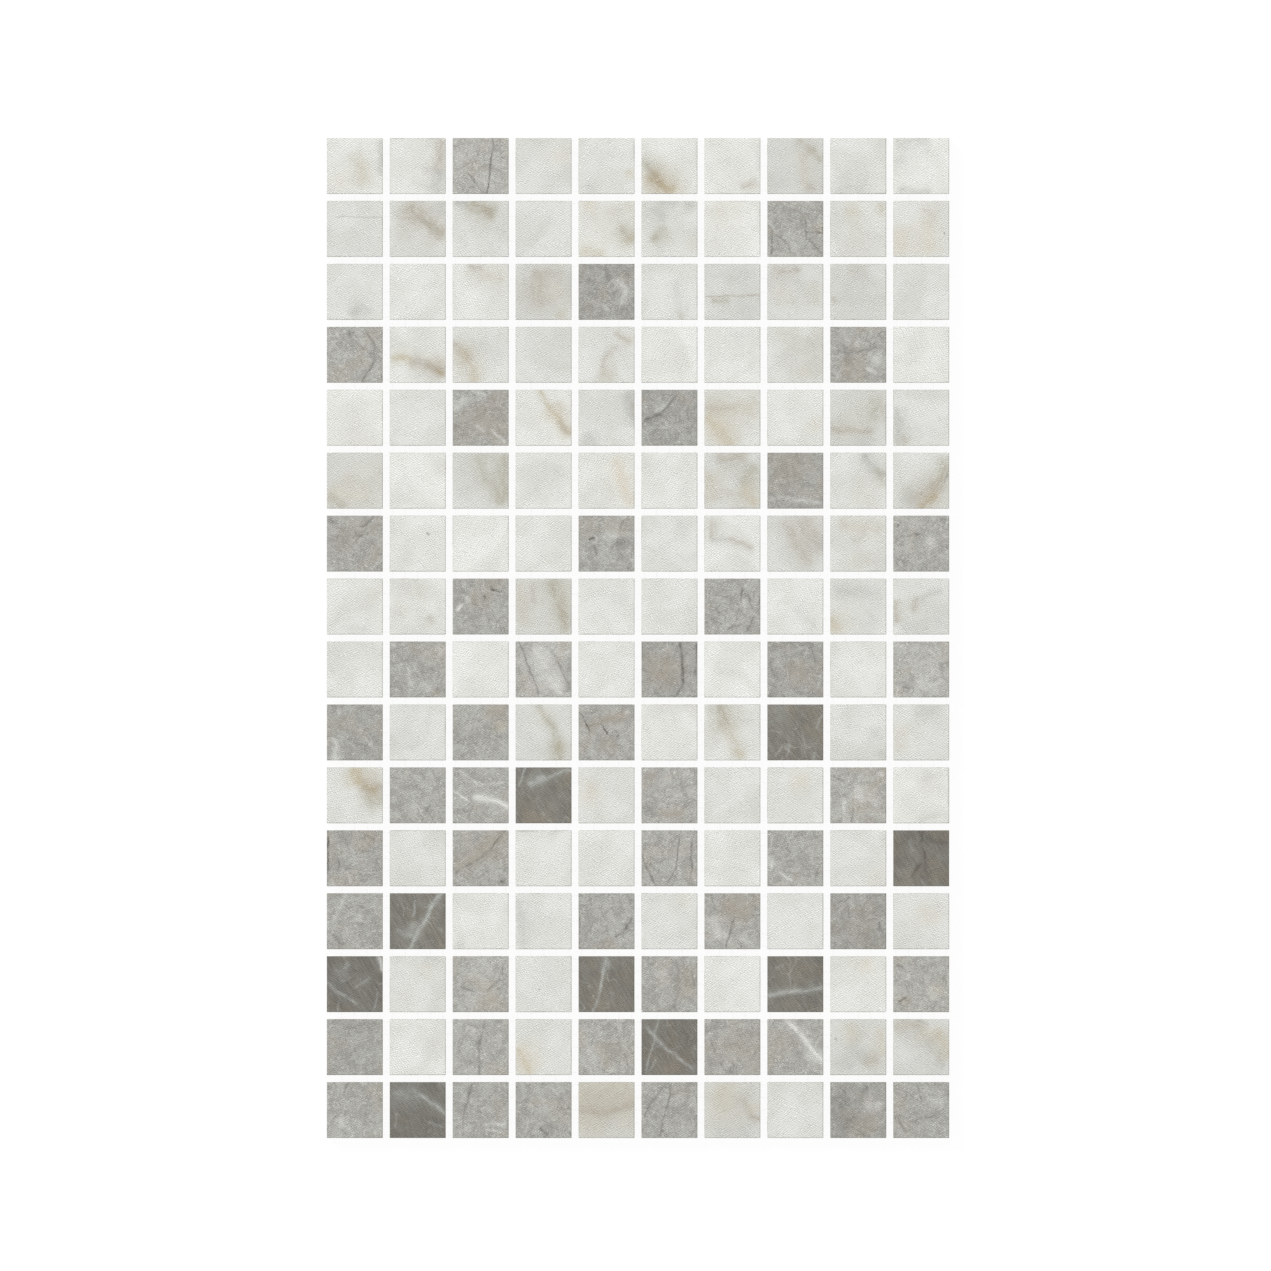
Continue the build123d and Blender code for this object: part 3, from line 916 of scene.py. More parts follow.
        Vein(Tint.BEIGE, (4, -4), (12, -6), 3.0, 0.4),
    ),
    (16, 6): (
        Vein(Tint.CRACK, (-2, 10), (-10.4, -2.5), 0.38, 0.9, -0.6),
        Vein(Tint.CRACK, (0.3, 9.5), (-2.6, -4), 0.34, 0.8, 0.5),
        Vein(Tint.CRACK, (-2.6, -4), (-3.4, -10.8), 0.3, 0.7),
        Vein(Tint.RUST, (1, 9), (8, 7), 2.0, 0.35),
    ),
    (16, 7): (
        Vein(Tint.OCHRE, (-7, 8), (-1, 4), 4.5, 0.5),
        Vein(Tint.BEIGE, (-8, 0), (4, -2), 4.0, 0.6),
        Vein(Tint.UMBER, (3, 6), (8, -2), 2.0, 0.5),
        Vein(Tint.UMBER, (6.5, -2), (11.2, -4), 1.3, 0.8),
        Vein(Tint.PEACH, (8, 2), (10, -1), 1.6, 0.45),
        Vein(Tint.ASH, (-8, -8), (8, -9), 3.5, 0.4),
    ),
    (16, 9): (
        Vein(Tint.CHALK, (2, 1), (9, 2.5), 1.8, 0.36),
        Vein(Tint.CRACK, (3, 9), (0, 2), 0.8, 0.35),
        Vein(Tint.RUST, (3, -3), (6, -8), 2.5, 0.45),
        Vein(Tint.CRACK, (0, -8), (3, -11), 0.8, 0.35),
        Vein(Tint.CRACK, (-9, 7), (-4, -8), 2.4, 0.36),
        Vein(Tint.CHALK, (8, 2), (11, 3), 0.8, 0.35),
    ),
    (16, 10): (
        Vein(Tint.CRACK, (-9.5, -3), (-6, -9), 0.45, 0.7),
        Vein(Tint.CRACK, (-1, 10), (0, 3), 0.5, 0.5),
        Vein(Tint.CRACK, (-8, 7), (8, -7), 6.0, 0.1),
        Vein(Tint.CHALK, (2, 5), (9, 2), 1.2, 0.3),
        Vein(Tint.CRACK, (-3, -4), (8, -2), 0.35, 0.3),
    ),
}

# What a chip has in place of a vein that it lacks
NO_VEIN = Vein(Tint.ASH, (0, 0), (0, 0), width=1.0, strength=0.0)


class NodeSheet:
    """A node tree being written, one call for each node."""

    def __init__(self, tree: bpy.types.NodeTree) -> None:
        """Starts writing into a tree, which is emptied first."""
        self.tree = tree
        tree.nodes.clear()

    def feed(self, socket: Socket, value: object) -> None:
        """Links a socket to another, or sets its own value."""
        if isinstance(value, bpy.types.NodeSocket):
            self.tree.links.new(value, socket)
        else:
            socket.default_value = value

    def node(self, kind: str, feeds: dict | None = None, **settings: object) -> bpy.types.Node:
        """Adds one node.

        Args:
            kind: The node's type name.
            feeds: Values or sockets for its inputs, by name, identifier or number.
            settings: The node's own options.

        Returns:
            The new node.
        """
        made = self.tree.nodes.new(kind)
        for option, value in settings.items():
            setattr(made, option, value)
        by_identifier = {socket.identifier: socket for socket in made.inputs}
        for key, value in (feeds or {}).items():
            self.feed(by_identifier[key] if key in by_identifier else made.inputs[key], value)
        return made

    def math(self, operation: str, *values: object) -> Socket:
        """Adds a sum on plain numbers."""
        return self.node("ShaderNodeMath", dict(enumerate(values)), operation=operation).outputs[0]

    def vector(self, operation: str, *values: object) -> Socket:
        """Adds a sum on vectors."""
        made = self.node("ShaderNodeVectorMath", dict(enumerate(values)), operation=operation)
        return made.outputs["Value" if operation in ("LENGTH", "DOT_PRODUCT") else "Vector"]

    def scaled(self, vector: Socket, factor: object) -> Socket:
        """Adds a vector times one number."""
        feeds = {"Vector": vector, "Scale": factor}
        return self.node("ShaderNodeVectorMath", feeds, operation="SCALE").outputs[0]

    def turned(self, vector: Socket, angle: object) -> Socket:
        """Adds a vector turned about Z."""
        feeds = {"Vector": vector, "Angle": angle}
        return self.node("ShaderNodeVectorRotate", feeds, rotation_type="Z_AXIS").outputs[0]

    def split(self, vector: Socket) -> tuple[Socket, Socket, Socket]:
        """Adds a split of a vector into its three numbers."""
        return tuple(self.node("ShaderNodeSeparateXYZ", {"Vector": vector}).outputs)

    def joined(self, x: object, y: object, z: object) -> Socket:
        """Adds a vector made of three numbers."""
        return self.node("ShaderNodeCombineXYZ", {"X": x, "Y": y, "Z": z}).outputs[0]

    def span(
        self, value: Socket, low: object, high: object, first: object = 0.0, last: object = 1.0
    ) -> Socket:
        """Adds a smooth step.

        Args:
            value: The number to map.
            low: Where the step starts.
            high: Where the step ends.
            first: The result at and before the start.
            last: The result at and after the end.

        Returns:
            The mapped number.
        """
        feeds = {"Value": value, "From Min": low, "From Max": high, "To Min": first, "To Max": last}
        return self.node("ShaderNodeMapRange", feeds, interpolation_type="SMOOTHSTEP").outputs[0]

    def noise(
        self, spot: Socket, per_mm: float, detail: float = 2.0, rough: float = 0.5, bend: float = 0.0
    ) -> Socket:
        """Adds a cloudy noise between 0 and 1.

        Args:
            spot: Where to read it, in millimetres.
            per_mm: How many blotches fit in a millimetre.
            detail: Finer layers on top of the first.
            rough: How strong each finer layer is.
            bend: How far the pattern is bent by itself.

        Returns:
            The noise as a number.
        """
        return self.noise_node(spot, per_mm, detail, rough, bend).outputs[0]

    def noise_node(
        self, spot: Socket, per_mm: float, detail: float, rough: float, bend: float
    ) -> bpy.types.Node:
        """Adds a noise node, whose second output holds three noises at once."""
        feeds = {"Vector": spot, "Scale": per_mm, "Detail": detail, "Roughness": rough, "Distortion": bend}
        return self.node("ShaderNodeTexNoise", feeds)

    def drift(self, spot: Socket, per_mm: float, reach: float, detail: float = 2.0) -> Socket:
        """Adds a wandering offset of up to about a third of its reach to each side."""
        wander = self.noise_node(spot, per_mm, detail, 0.5, 0.0).outputs[1]
        return self.scaled(self.vector("SUBTRACT", wander, (0.5, 0.5, 0.5)), reach)

    def apart(self, spot: Socket, layer: Layer) -> Socket:
        """Adds the place where one layer of a glaze reads its noise."""
        return self.vector("ADD", spot, layer.value)

    def mix(self, share: object, first: object, second: object, way: str = "MIX") -> Socket:
        """Adds a mix of two colours."""
        feeds = {"Factor_Float": share, "A_Color": first, "B_Color": second}
        return self.node("ShaderNodeMix", feeds, data_type="RGBA", blend_type=way).outputs[2]

    def attribute(self, name: str, output: str = "Vector") -> Socket:
        """Adds one of the mesh's own attributes to a material."""
        return self.node("ShaderNodeAttribute", attribute_name=name).outputs[output]

    def looked_at(self) -> Socket:
        """Adds 1 for what is looked at, straight, mirrored or through clear stuff, and 0 for other light."""
        path = self.node("ShaderNodeLightPath").outputs
        seen = self.math("MAXIMUM", path["Is Camera Ray"], path["Is Glossy Ray"])
        return self.math("MAXIMUM", seen, path["Is Transmission Ray"])


def group_sheet(kind: str, name: str, inputs: dict[str, str], outputs: dict[str, str]) -> NodeSheet:
    """Starts a node group.

    Args:
        kind: The group's type name.
        name: The group's own name.
        inputs: What each input holds, by its name: "Vector", "Float" and so on.
        outputs: What each output holds, by its name.

    Returns:
        The group as an empty sheet.
    """
    tree = bpy.data.node_groups.new(name, kind)
    for way, sockets in (("INPUT", inputs), ("OUTPUT", outputs)):
        for label, content in sockets.items():
            tree.interface.new_socket(label, in_out=way, socket_type=f"NodeSocket{content}")
    return NodeSheet(tree)


class SoftVein:
    """The shader group that draws one soft-edged vein, bowed, streaked and faded at its ends."""

    hairline = 0.3  # half the width of a vein with the least halo, in millimetres
    broad = 2.0  # half the width of a vein with a full halo
    least_halo = 0.1
    full_halo = 0.58
    halo_falloff = 0.16  # how fast the halo thins out, beside 1 for the core
    fading_end = 0.24  # share of half the length that a vein fades over, if that is more than half its width
    streaks_along = 0.26  # streaks in a millimetre
    streaks_across = 0.6
    thin_gap = 0.36  # what is left of a thin vein between its streaks
    wide_gap = 0.6  # what is left of a wide one
    full_streak = 1.12

    def build(self) -> bpy.types.NodeTree:
        """Writes the group.

        Returns:
            A group that takes a place, the vein's lie and its shape, and gives a mask from 0 to about 1.
        """
        inputs = {"Place": "Vector", "Lie": "Vector", "Shape": "Vector"}
        sheet = group_sheet("ShaderNodeTree", "soft vein", inputs, {"Mask": "Float"})
        given = sheet.node("NodeGroupInput").outputs
        middle_x, middle_y, turn = sheet.split(given["Lie"])
        half_length, bow, half_width = sheet.split(given["Shape"])
        offset = sheet.vector("SUBTRACT", given["Place"], sheet.joined(middle_x, middle_y, 0.0))
        along, across, _ = sheet.split(sheet.turned(offset, turn))

        # A soft core in a wider halo, bulged by the bow
        reach = sheet.math("DIVIDE", along, half_length)
        lift = sheet.math("MULTIPLY", bow, sheet.math("SUBTRACT", 1.0, sheet.math("MULTIPLY", reach, reach)))
        aside = sheet.math("DIVIDE", sheet.math("SUBTRACT", across, lift), half_width)
        square = sheet.math("MULTIPLY", aside, aside)
        core = sheet.math("EXPONENT", sheet.math("MULTIPLY", square, -1.0))
        halo = sheet.math("EXPONENT", sheet.math("MULTIPLY", square, -self.halo_falloff))
        spread = sheet.span(half_width, self.hairline, self.broad, self.least_halo, self.full_halo)
        soft = sheet.math("ADD", core, sheet.math("MULTIPLY", spread, sheet.math("SUBTRACT", halo, core)))

        # Both ends fade
        fade = sheet.math("MAXIMUM", sheet.math("MULTIPLY", half_length, self.fading_end), half_width)
        fade_from = sheet.math("SUBTRACT", half_length, fade)
        fade_to = sheet.math("ADD", half_length, fade)
        ends = sheet.span(sheet.math("ABSOLUTE", along), fade_from, fade_to, 1.0, 0.0)

        # Streaks break it up, a thin vein more than a wide one
        streak_x = sheet.math("MULTIPLY", along, self.streaks_along)
        streak_y = sheet.math("MULTIPLY", across, self.streaks_across)
        grain = sheet.joined(streak_x, streak_y, turn)
        gap = sheet.span(half_width, 0.4, 1.2, self.thin_gap, self.wide_gap)
        uneven = sheet.noise(sheet.vector("ADD", grain, given["Lie"]), 1.0, 4.0, 0.66)
        streaks = sheet.span(uneven, 0.32, 0.62, gap, self.full_streak)
        mask = sheet.math("MULTIPLY", sheet.math("MULTIPLY", soft, ends), streaks)
        sheet.node("NodeGroupOutput", {"Mask": mask})
        return sheet.tree


class Finish:
    """A surface finish, which makes its material once."""

    name = ""

    def __init__(self) -> None:
        """Makes the material."""
        self.material = bpy.data.materials.new(self.name)
        self.material.use_nodes = True
        self.dress(NodeSheet(self.material.node_tree))

    def dress(self, sheet: NodeSheet) -> None:
        """Writes the material's nodes."""
        raise NotImplementedError

    @staticmethod
    def close(sheet: NodeSheet, feeds: dict) -> None:
        """Ends a material in one surface shader."""
        shader = sheet.node("ShaderNodeBsdfPrincipled", feeds)
        sheet.node("ShaderNodeOutputMaterial", {"Surface": shader.outputs[0]})


class MarbleGlaze(Finish):
    """Printed marble glaze with a fine leathery relief; each tone gives its own ground."""

    veins: bpy.types.NodeTree
    grain_depth = 0.09 * MM
    relief_painted_shade = 0.28  # painted shade and highlight on the relief: how much darker its hollows are painted, and how much lighter its tops
    ripple_pitch = 0.8  # millimetres from one ripple of the relief to the next
    ripple_slant = 10.0  # how far the ripples are pushed out of line, in radians
    ripple_crossing = radians(34)  # turn of each of the two sets of ripples, one to each side
    ripple_bends = 1.05  # bends in a millimetre of a ripple
    bend_stretch = (1.0, 0.7, 1.0)  # draws the bends out across the ripples
    rising_share = (0.32, 0.68)  # share of the second set, where it is weakest and where it leads
    relief_share = (0.2, 0.5)  # height of the relief to each side, where it is faint and where it is full
    hair_core = 0.002  # how wide a hairline is, and how far it fades, as shares of the noise's range
    hair_edge = 0.014
    hair_cover = 0.6
    matt = 0.52
    matt_spread = 0.08  # how far the roughness strays from that
    sheen = 0.35
    rim = (10.7, 11.2)  # where the rim that darkens towards the chip's sides starts and ends, in millimetres from the chip's middle
    # how dark the colour gets at the chip's very side
    rim_darkening = 0.86

    def __init__(self, veins: bpy.types.NodeTree) -> None:
        """Keeps the vein group and makes the material."""
        self.veins = veins
        super().__init__()

    def ground(self, sheet: NodeSheet, spot: Socket) -> Socket:
        """Draws the glaze between its veins."""
        raise NotImplementedError

    def lines(self, sheet: NodeSheet, colour: Socket, spot: Socket, per_mm: float, tint: Colour) -> Socket:
        """Draws broken hairlines, which wander over the chip as hair cracks do.

        Args:
            sheet: The material's nodes.
            colour: What they are drawn on.
            spot: Where they are read, in millimetres.
            per_mm: How densely they lie.
            tint: Their colour.

        Returns:
            The colour with its hairlines.
        """
        bent = sheet.vector("ADD", spot, sheet.drift(spot, 0.5, 1.6, 3.0))
        fold = sheet.math("ABSOLUTE", sheet.math("SUBTRACT", sheet.noise(bent, per_mm, 1.0, 0.4, 0.6), 0.5))
        broken = sheet.span(sheet.noise(spot, 0.17, 3.0), 0.45, 0.6)
        line = sheet.span(fold, self.hair_core, self.hair_edge, self.hair_cover, 0.0)
        return sheet.mix(sheet.math("MULTIPLY", line, broken), colour, tint)

    def veined(self, sheet: NodeSheet, colour: Socket, place: Socket, spot: Socket) -> Socket:
        """Draws the chip's own veins over its ground.

        Args:
            sheet: The material's nodes.
            colour: The ground.
            place: The place on the chip, in millimetres from its middle.
            spot: The same place in the chip's share of the noise.

        Returns:
            The colour with its veins.
        """
        wander = sheet.vector("ADD", sheet.drift(spot, 0.13, 2.4), sheet.drift(spot, 0.8, 0.9, 3.0))
        drawn = sheet.vector("ADD", place, wander)
        flat = sheet.vector("MULTIPLY", drawn, (1.0, 1.0, 0.0))
        for number in range(1, VEIN_LIMIT + 1):
            feeds = {
                "Place": flat,
                "Lie": sheet.attribute(f"vein_{number}_lie"),
                "Shape": sheet.attribute(f"vein_{number}_shape"),
            }
            mask = sheet.node("ShaderNodeGroup", feeds, node_tree=self.veins).outputs[0]
            tint = sheet.node("ShaderNodeAttribute", attribute_name=f"vein_{number}_tint").outputs
            cover = sheet.math("MULTIPLY", mask, tint["Alpha"])
            colour = sheet.mix(cover, colour, tint["Color"])
        return colour

    def ripples(self, sheet: NodeSheet, spot: Socket, turn: Socket) -> Socket:
        """Draws one set of wavering ripples.

        Args:
            sheet: The material's nodes.
            spot: Where they are read, in millimetres.
            turn: The way that they run.

        Returns:
            Their height, from -1 to 1.
        """
        laid = sheet.turned(spot, turn)
        stretched = sheet.vector("MULTIPLY", laid, self.bend_stretch)
        slant = sheet.noise(stretched, self.ripple_bends, 2.0, 0.5)
        _, across, _ = sheet.split(laid)
        steps = sheet.math("MULTIPLY", across, 2 * pi / self.ripple_pitch)
        phase = sheet.math("ADD", steps, sheet.math("MULTIPLY", slant, self.ripple_slant))
        return sheet.math("SINE", phase)

    def relief(self, sheet: NodeSheet, spot: Socket) -> Socket:
        """Draws the leathery relief: pebbles and short ripples where two sets of ripples cross.

        Args:
            sheet: The material's nodes.
            spot: Where it is read, in millimetres.

        Returns:
            The height of the relief, from 0 to 1.
        """
        turn = sheet.attribute("turn", "Fac")
        falling = self.ripples(sheet, spot, sheet.math("ADD", turn, self.ripple_crossing))
        rising = self.ripples(sheet, spot, sheet.math("SUBTRACT", turn, self.ripple_crossing))
        leading = sheet.span(sheet.noise(spot, 0.7, 1.0), 0.36, 0.64, *self.rising_share)
        between = sheet.math("SUBTRACT", rising, falling)
        crossed = sheet.math("MULTIPLY_ADD", between, leading, falling)
        uneven = sheet.span(sheet.noise(spot, 0.3, 2.0), 0.32, 0.66, *self.relief_share)
        return sheet.math("MULTIPLY_ADD", crossed, uneven, 0.5)

    def dress(self, sheet: NodeSheet) -> None:
        """Writes the ground, the veins, the relief with painted shade in its hollows and painted highlight on
        its tops, and a rim that darkens towards the sides.
        """
        place = sheet.attribute("place")
        spot = sheet.vector("ADD", place, sheet.attribute("batch"))
        shade = sheet.attribute("shade", "Fac")
        colour = sheet.scaled(self.ground(sheet, spot), shade)
        colour = self.veined(sheet, colour, place, spot)
        relief = self.relief(sheet, spot)
        # Painted shade in the relief's hollows and painted highlight on its tops, over the real bump
        painted_relief_shade = sheet.span(relief, 0.0, 1.0, 1.0 - self.relief_painted_shade, 1.0 + self.relief_painted_shade)
        x, y, _ = sheet.split(sheet.vector("ABSOLUTE", place))
        # Darkens the colour towards the chip's sides
        rim = sheet.span(sheet.math("MAXIMUM", x, y), *self.rim, 1.0, self.rim_darkening)
        colour = sheet.scaled(colour, sheet.math("MULTIPLY", painted_relief_shade, rim))
        roughest = self.matt + self.matt_spread
        rough = sheet.span(sheet.noise(spot, 0.3, 3.0), 0.3, 0.7, self.matt - self.matt_spread, roughest)
        bump = sheet.node("ShaderNodeBump", {"Strength": 1.0, "Distance": self.grain_depth, "Height": relief})
        feeds = {
            "Base Color": colour,
            "Roughness": rough,
            "Normal": bump.outputs[0],
            "Specular IOR Level": self.sheen,
        }
        self.close(sheet, feeds)


class PaleGlaze(MarbleGlaze):
    """White marble: a soft white ground with faint grey clouds."""

    name = "pale_marble_glaze"
    white = paint(219, 220, 214)
    bright_white = paint(226, 227, 222)
    dusk_grey = paint(207, 206, 199)

    def ground(self, sheet: NodeSheet, spot: Socket) -> Socket:
        """Draws white with faint clouds."""
        haze = sheet.span(sheet.noise(spot, 0.08, 1.0, 0.5, 0.4), 0.34, 0.66)
        colour = sheet.mix(haze, self.white, self.bright_white)
        dusk = sheet.noise(sheet.apart(spot, Layer.DUSK), 0.045, 2.0, 0.5, 0.8)
        return sheet.mix(sheet.span(dusk, 0.46, 0.72, 0.0, 0.5), colour, self.dusk_grey)


class GreyGlaze(MarbleGlaze):
    """Grey limestone: mottled, speckled and crossed by hair cracks."""

    name = "grey_marble_glaze"
    grain_depth = 0.06 * MM
    matt = 0.56
    grey = paint(159, 158, 152)
    light_grey = paint(181, 181, 175)
    brown_blush = paint(172, 165, 152)
    fleck_white = paint(218, 218, 212)
    pit_grey = paint(116, 114, 107)
    dark_hair = paint(126, 124, 118)
    light_hair = paint(204, 204, 198)

    def ground(self, sheet: NodeSheet, spot: Socket) -> Socket:
        """Draws mottled grey with flecks, pits, a brown blush and hair cracks."""
        patch = sheet.span(sheet.noise(spot, 0.24, 5.0, 0.62, 0.8), 0.36, 0.64)
        colour = sheet.mix(patch, self.grey, self.light_grey)
        blush = sheet.noise(sheet.apart(spot, Layer.BLUSH), 0.08, 3.0, 0.5, 0.5)
        colour = sheet.mix(sheet.span(blush, 0.5, 0.72, 0.0, 0.55), colour, self.brown_blush)
        fleck = sheet.noise(sheet.apart(spot, Layer.FLECKS), 1.0, 5.0, 0.78, 0.5)
        colour = sheet.mix(sheet.span(fleck, 0.52, 0.68, 0.0, 0.78), colour, self.fleck_white)
        pit = sheet.noise(sheet.apart(spot, Layer.PITS), 1.7, 3.0, 0.8, 0.3)
        colour = sheet.mix(sheet.span(pit, 0.53, 0.68, 0.0, 0.82), colour, self.pit_grey)
        colour = self.lines(sheet, colour, sheet.apart(spot, Layer.DARK_HAIRS), 0.12, self.dark_hair)
        return self.lines(sheet, colour, sheet.apart(spot, Layer.LIGHT_HAIRS), 0.1, self.light_hair)


class DarkGlaze(MarbleGlaze):
    """Dark brown-grey marble, brushed with fine lines."""

    name = "dark_marble_glaze"
    grain_depth = 0.06 * MM
    # Stronger painted shade in the relief's hollows and painted highlight on its tops
    relief_painted_shade = 0.32
    matt = 0.5
    brown_grey = paint(120, 117, 109)
    light_brown_grey = paint(129, 127, 119)
    brown_blush = paint(131, 122, 108)
    light_hair = paint(160, 161, 155)
    brush_turn = 1.05  # the way of the brush lines, in radians
    brush_stretch = (0.2, 1.5, 1.0)  # draws them out along their way

    def ground(self, sheet: NodeSheet, spot: Socket) -> Socket:
        """Draws dark grey-brown with slanted brush lines and faint pale hairs."""
        patch = sheet.span(sheet.noise(spot, 0.13, 5.0, 0.6, 0.8), 0.36, 0.64)
        colour = sheet.mix(patch, self.brown_grey, self.light_brown_grey)
        blush = sheet.noise(sheet.apart(spot, Layer.BLUSH), 0.09, 3.0, 0.5, 0.5)
        colour = sheet.mix(sheet.span(blush, 0.48, 0.68, 0.0, 0.5), colour, self.brown_blush)
        slant = sheet.turned(spot, self.brush_turn)
        brushed = sheet.noise(sheet.vector("MULTIPLY", slant, self.brush_stretch), 0.9, 4.0, 0.65)
        colour = sheet.scaled(colour, sheet.span(brushed, 0.32, 0.68, 0.83, 1.17))
        return self.lines(sheet, colour, sheet.apart(spot, Layer.LIGHT_HAIRS), 0.1, self.light_hair)


class BisqueBody(Finish):
    """Fired clay under the glaze: a white engobe line, saw marks and fine pores."""

    name = "bisque_body"
    clay = paint(206, 194, 176)
    light_clay = paint(223, 214, 199)
    pore_brown = paint(168, 152, 133)
    engobe_white = paint(230, 228, 222)
    engobe = (-0.62, -0.48)  # where the white line starts and is full, in millimetres from the glazed face
    sheen = 0.25

    def dress(self, sheet: NodeSheet) -> None:
        """Writes the clay, its pores, its saw marks and the engobe line."""
        place = sheet.attribute("place")
        spot = sheet.vector("ADD", place, sheet.attribute("batch"))
        mottle = sheet.span(sheet.noise(spot, 0.5, 5.0, 0.7), 0.35, 0.65)
        colour = sheet.mix(mottle, self.clay, self.light_clay)
        pores = sheet.noise(spot, 3.2, 2.0, 0.6)
        colour = sheet.mix(sheet.span(pores, 0.62, 0.72, 0.0, 0.55), colour, self.pore_brown)
        _, _, depth = sheet.split(place)
        ragged = sheet.math("ADD", depth, sheet.math("MULTIPLY", sheet.noise(spot, 0.8, 3.0), 0.3))
        colour = sheet.mix(sheet.span(ragged, *self.engobe), colour, self.engobe_white)
        sawn = sheet.noise(sheet.vector("MULTIPLY", spot, (0.12, 0.12, 4.0)), 1.0, 3.0, 0.6)
        height = sheet.math("ADD", sawn, sheet.math("MULTIPLY", pores, -0.6))
        bump = sheet.node("ShaderNodeBump", {"Strength": 0.7, "Distance": 0.06 * MM, "Height": height})
        rough = sheet.span(pores, 0.3, 0.7, 0.86, 0.74)
        feeds = {
            "Base Color": colour,
            "Roughness": rough,
            "Normal": bump.outputs[0],
            "Specular IOR Level": self.sheen,
        }
        self.close(sheet, feeds)


class GlassYarn(Finish):
    """Clear glass-fibre yarn: filaments in a thin white binder."""

    name = "glass_fibre_yarn"
    filament = paint(254, 255, 254)
    twist = radians(28)

    def dress(self, sheet: NodeSheet) -> None:
        """Writes the filaments and the binder."""
        place = sheet.scaled(sheet.node("ShaderNodeTexCoord").outputs["Object"], 1 / MM)
        twisted = sheet.turned(place, self.twist)
        strands = sheet.noise(sheet.vector("MULTIPLY", twisted, (9.0, 0.8, 3.0)), 1.0, 3.0, 0.6)
        colour = sheet.mix(sheet.span(strands, 0.35, 0.65), self.filament, WHITE)
        rough = sheet.span(strands, 0.3, 0.7, 0.2, 0.12)
        bump = sheet.node("ShaderNodeBump", {"Strength": 0.4, "Distance": 0.03 * MM, "Height": strands})
        feeds = {
            "Base Color": colour,
            "Roughness": rough,
            "Normal": bump.outputs[0],
            "IOR": 1.06,
            "Transmission Weight": 0.985,
        }
        self.close(sheet, feeds)


@dataclass(frozen=True)
class ChipForm:
    """The shape that every chip is cut to, in scene units.

    Attributes:
        side: Length of its sides.
        height: Thickness from back to glazed face.
        arris: Size of the eased edge around the glazed face.
        edge_steps: Points along each side, so that sawing nicks can show.
    """

    side: float
    height: float
    arris: float = 0.3 * MM
    edge_steps: int = 5

    # The chip's cell of the bake map: the face with the back above it, and the four sides at their right
    free_edge = 0.02
    face_span = 0.72
    beyond_face = 0.77
    narrow_span = 0.21
    wall_pitch = 0.24
    wall_span = 0.22

    def ring(self, inset: float, depth: float) -> list[Vector]:
        """Walks once around the chip, anticlockwise from above.

        Args:
            inset: How far inside the chip's sides the ring runs.
            depth: How far below the glazed face it runs.

        Returns:
            The ring's points.
        """
        reach = self.side / 2 - inset
        corners = [(-reach, -reach), (reach, -reach), (reach, reach), (-reach, reach)]
        points = []
        for corner, following in zip(corners, corners[1:] + corners[:1]):
            start = Vector((*corner, -depth))
            way = Vector((*following, -depth)) - start
            points += [start + way * (step / self.edge_steps) for step in range(self.edge_steps)]
        return points

    def rings(self) -> list[tuple[list[Vector], float]]:
        """Lists the rings from the back up to the face, each with its share of the nicks."""
        bend = self.arris * (1 - sqrt(0.5))
        return [
            (self.ring(0.0, self.height), 0.15),
            (self.ring(0.0, self.arris), 1.0),
            (self.ring(bend, bend), 0.8),
            (self.ring(self.arris, 0.0), 0.5),
        ]

    def map_corner(self, place: Vector, kind: str, step: int) -> tuple[float, float]:
        """Gives a point's place in the chip's cell of the bake map.

        Args:
            place: The point on the chip.
            kind: "face", "side" or "back".
            step: The number of the ring segment that the side face is in.

        Returns:
            U and V from 0 to 1 within the cell.
        """
        across = place.x / self.side + 0.5
        up = place.y / self.side + 0.5
        if kind == "face":
            return self.free_edge + self.face_span * across, self.free_edge + self.face_span * up
        if kind == "back":
            return self.free_edge + self.face_span * across, self.beyond_face + self.narrow_span * up
        wall = step // self.edge_steps
        run = across if wall % 2 == 0 else up
        rise = 1 + place.z / self.height
        start = self.free_edge + self.wall_pitch * wall
        return self.beyond_face + self.narrow_span * rise, start + self.wall_span * run

    def master(self) -> bpy.types.Object:
        """Builds one chip around the middle of its glazed face, with what the finish reads.

        Returns:
            The chip as an object that is in no collection.
        """
        grown = bmesh.new()
        nick = grown.verts.layers.float.new("nick")
        local = grown.verts.layers.float_vector.new("place")
        glazed = grown.faces.layers.bool.new("glazed")
        bake = grown.loops.layers.uv.new(BAKE_MAP)
        loops = []
        for points, share in self.rings():
            loop = [grown.verts.new(point) for point in points]
            for vert in loop:
                vert[nick] = share
                vert[local] = vert.co / MM
            loops.append(loop)
        around = len(loops[0])

        def add(verts: list[bmesh.types.BMVert], kind: str, step: int = 0) -> None:
            """Adds one face, with its map and its finish."""
            face = grown.faces.new(verts)
            face[glazed] = kind == "face"
            for corner in face.loops:
                corner[bake].uv = self.map_corner(corner.vert.co, kind, step)

        add(loops[0][::-1], "back")
        for level, (lower, upper) in enumerate(zip(loops, loops[1:])):
            for step in range(around):
                after = (step + 1) % around
                kind = "side" if level == 0 else "face"
                add([lower[step], lower[after], upper[after], upper[step]], kind, step)
        add(loops[-1], "face")
        mesh = bpy.data.meshes.new("chip_master")
        grown.to_mesh(mesh)
        grown.free()
        return bpy.data.objects.new("chip_master", mesh)


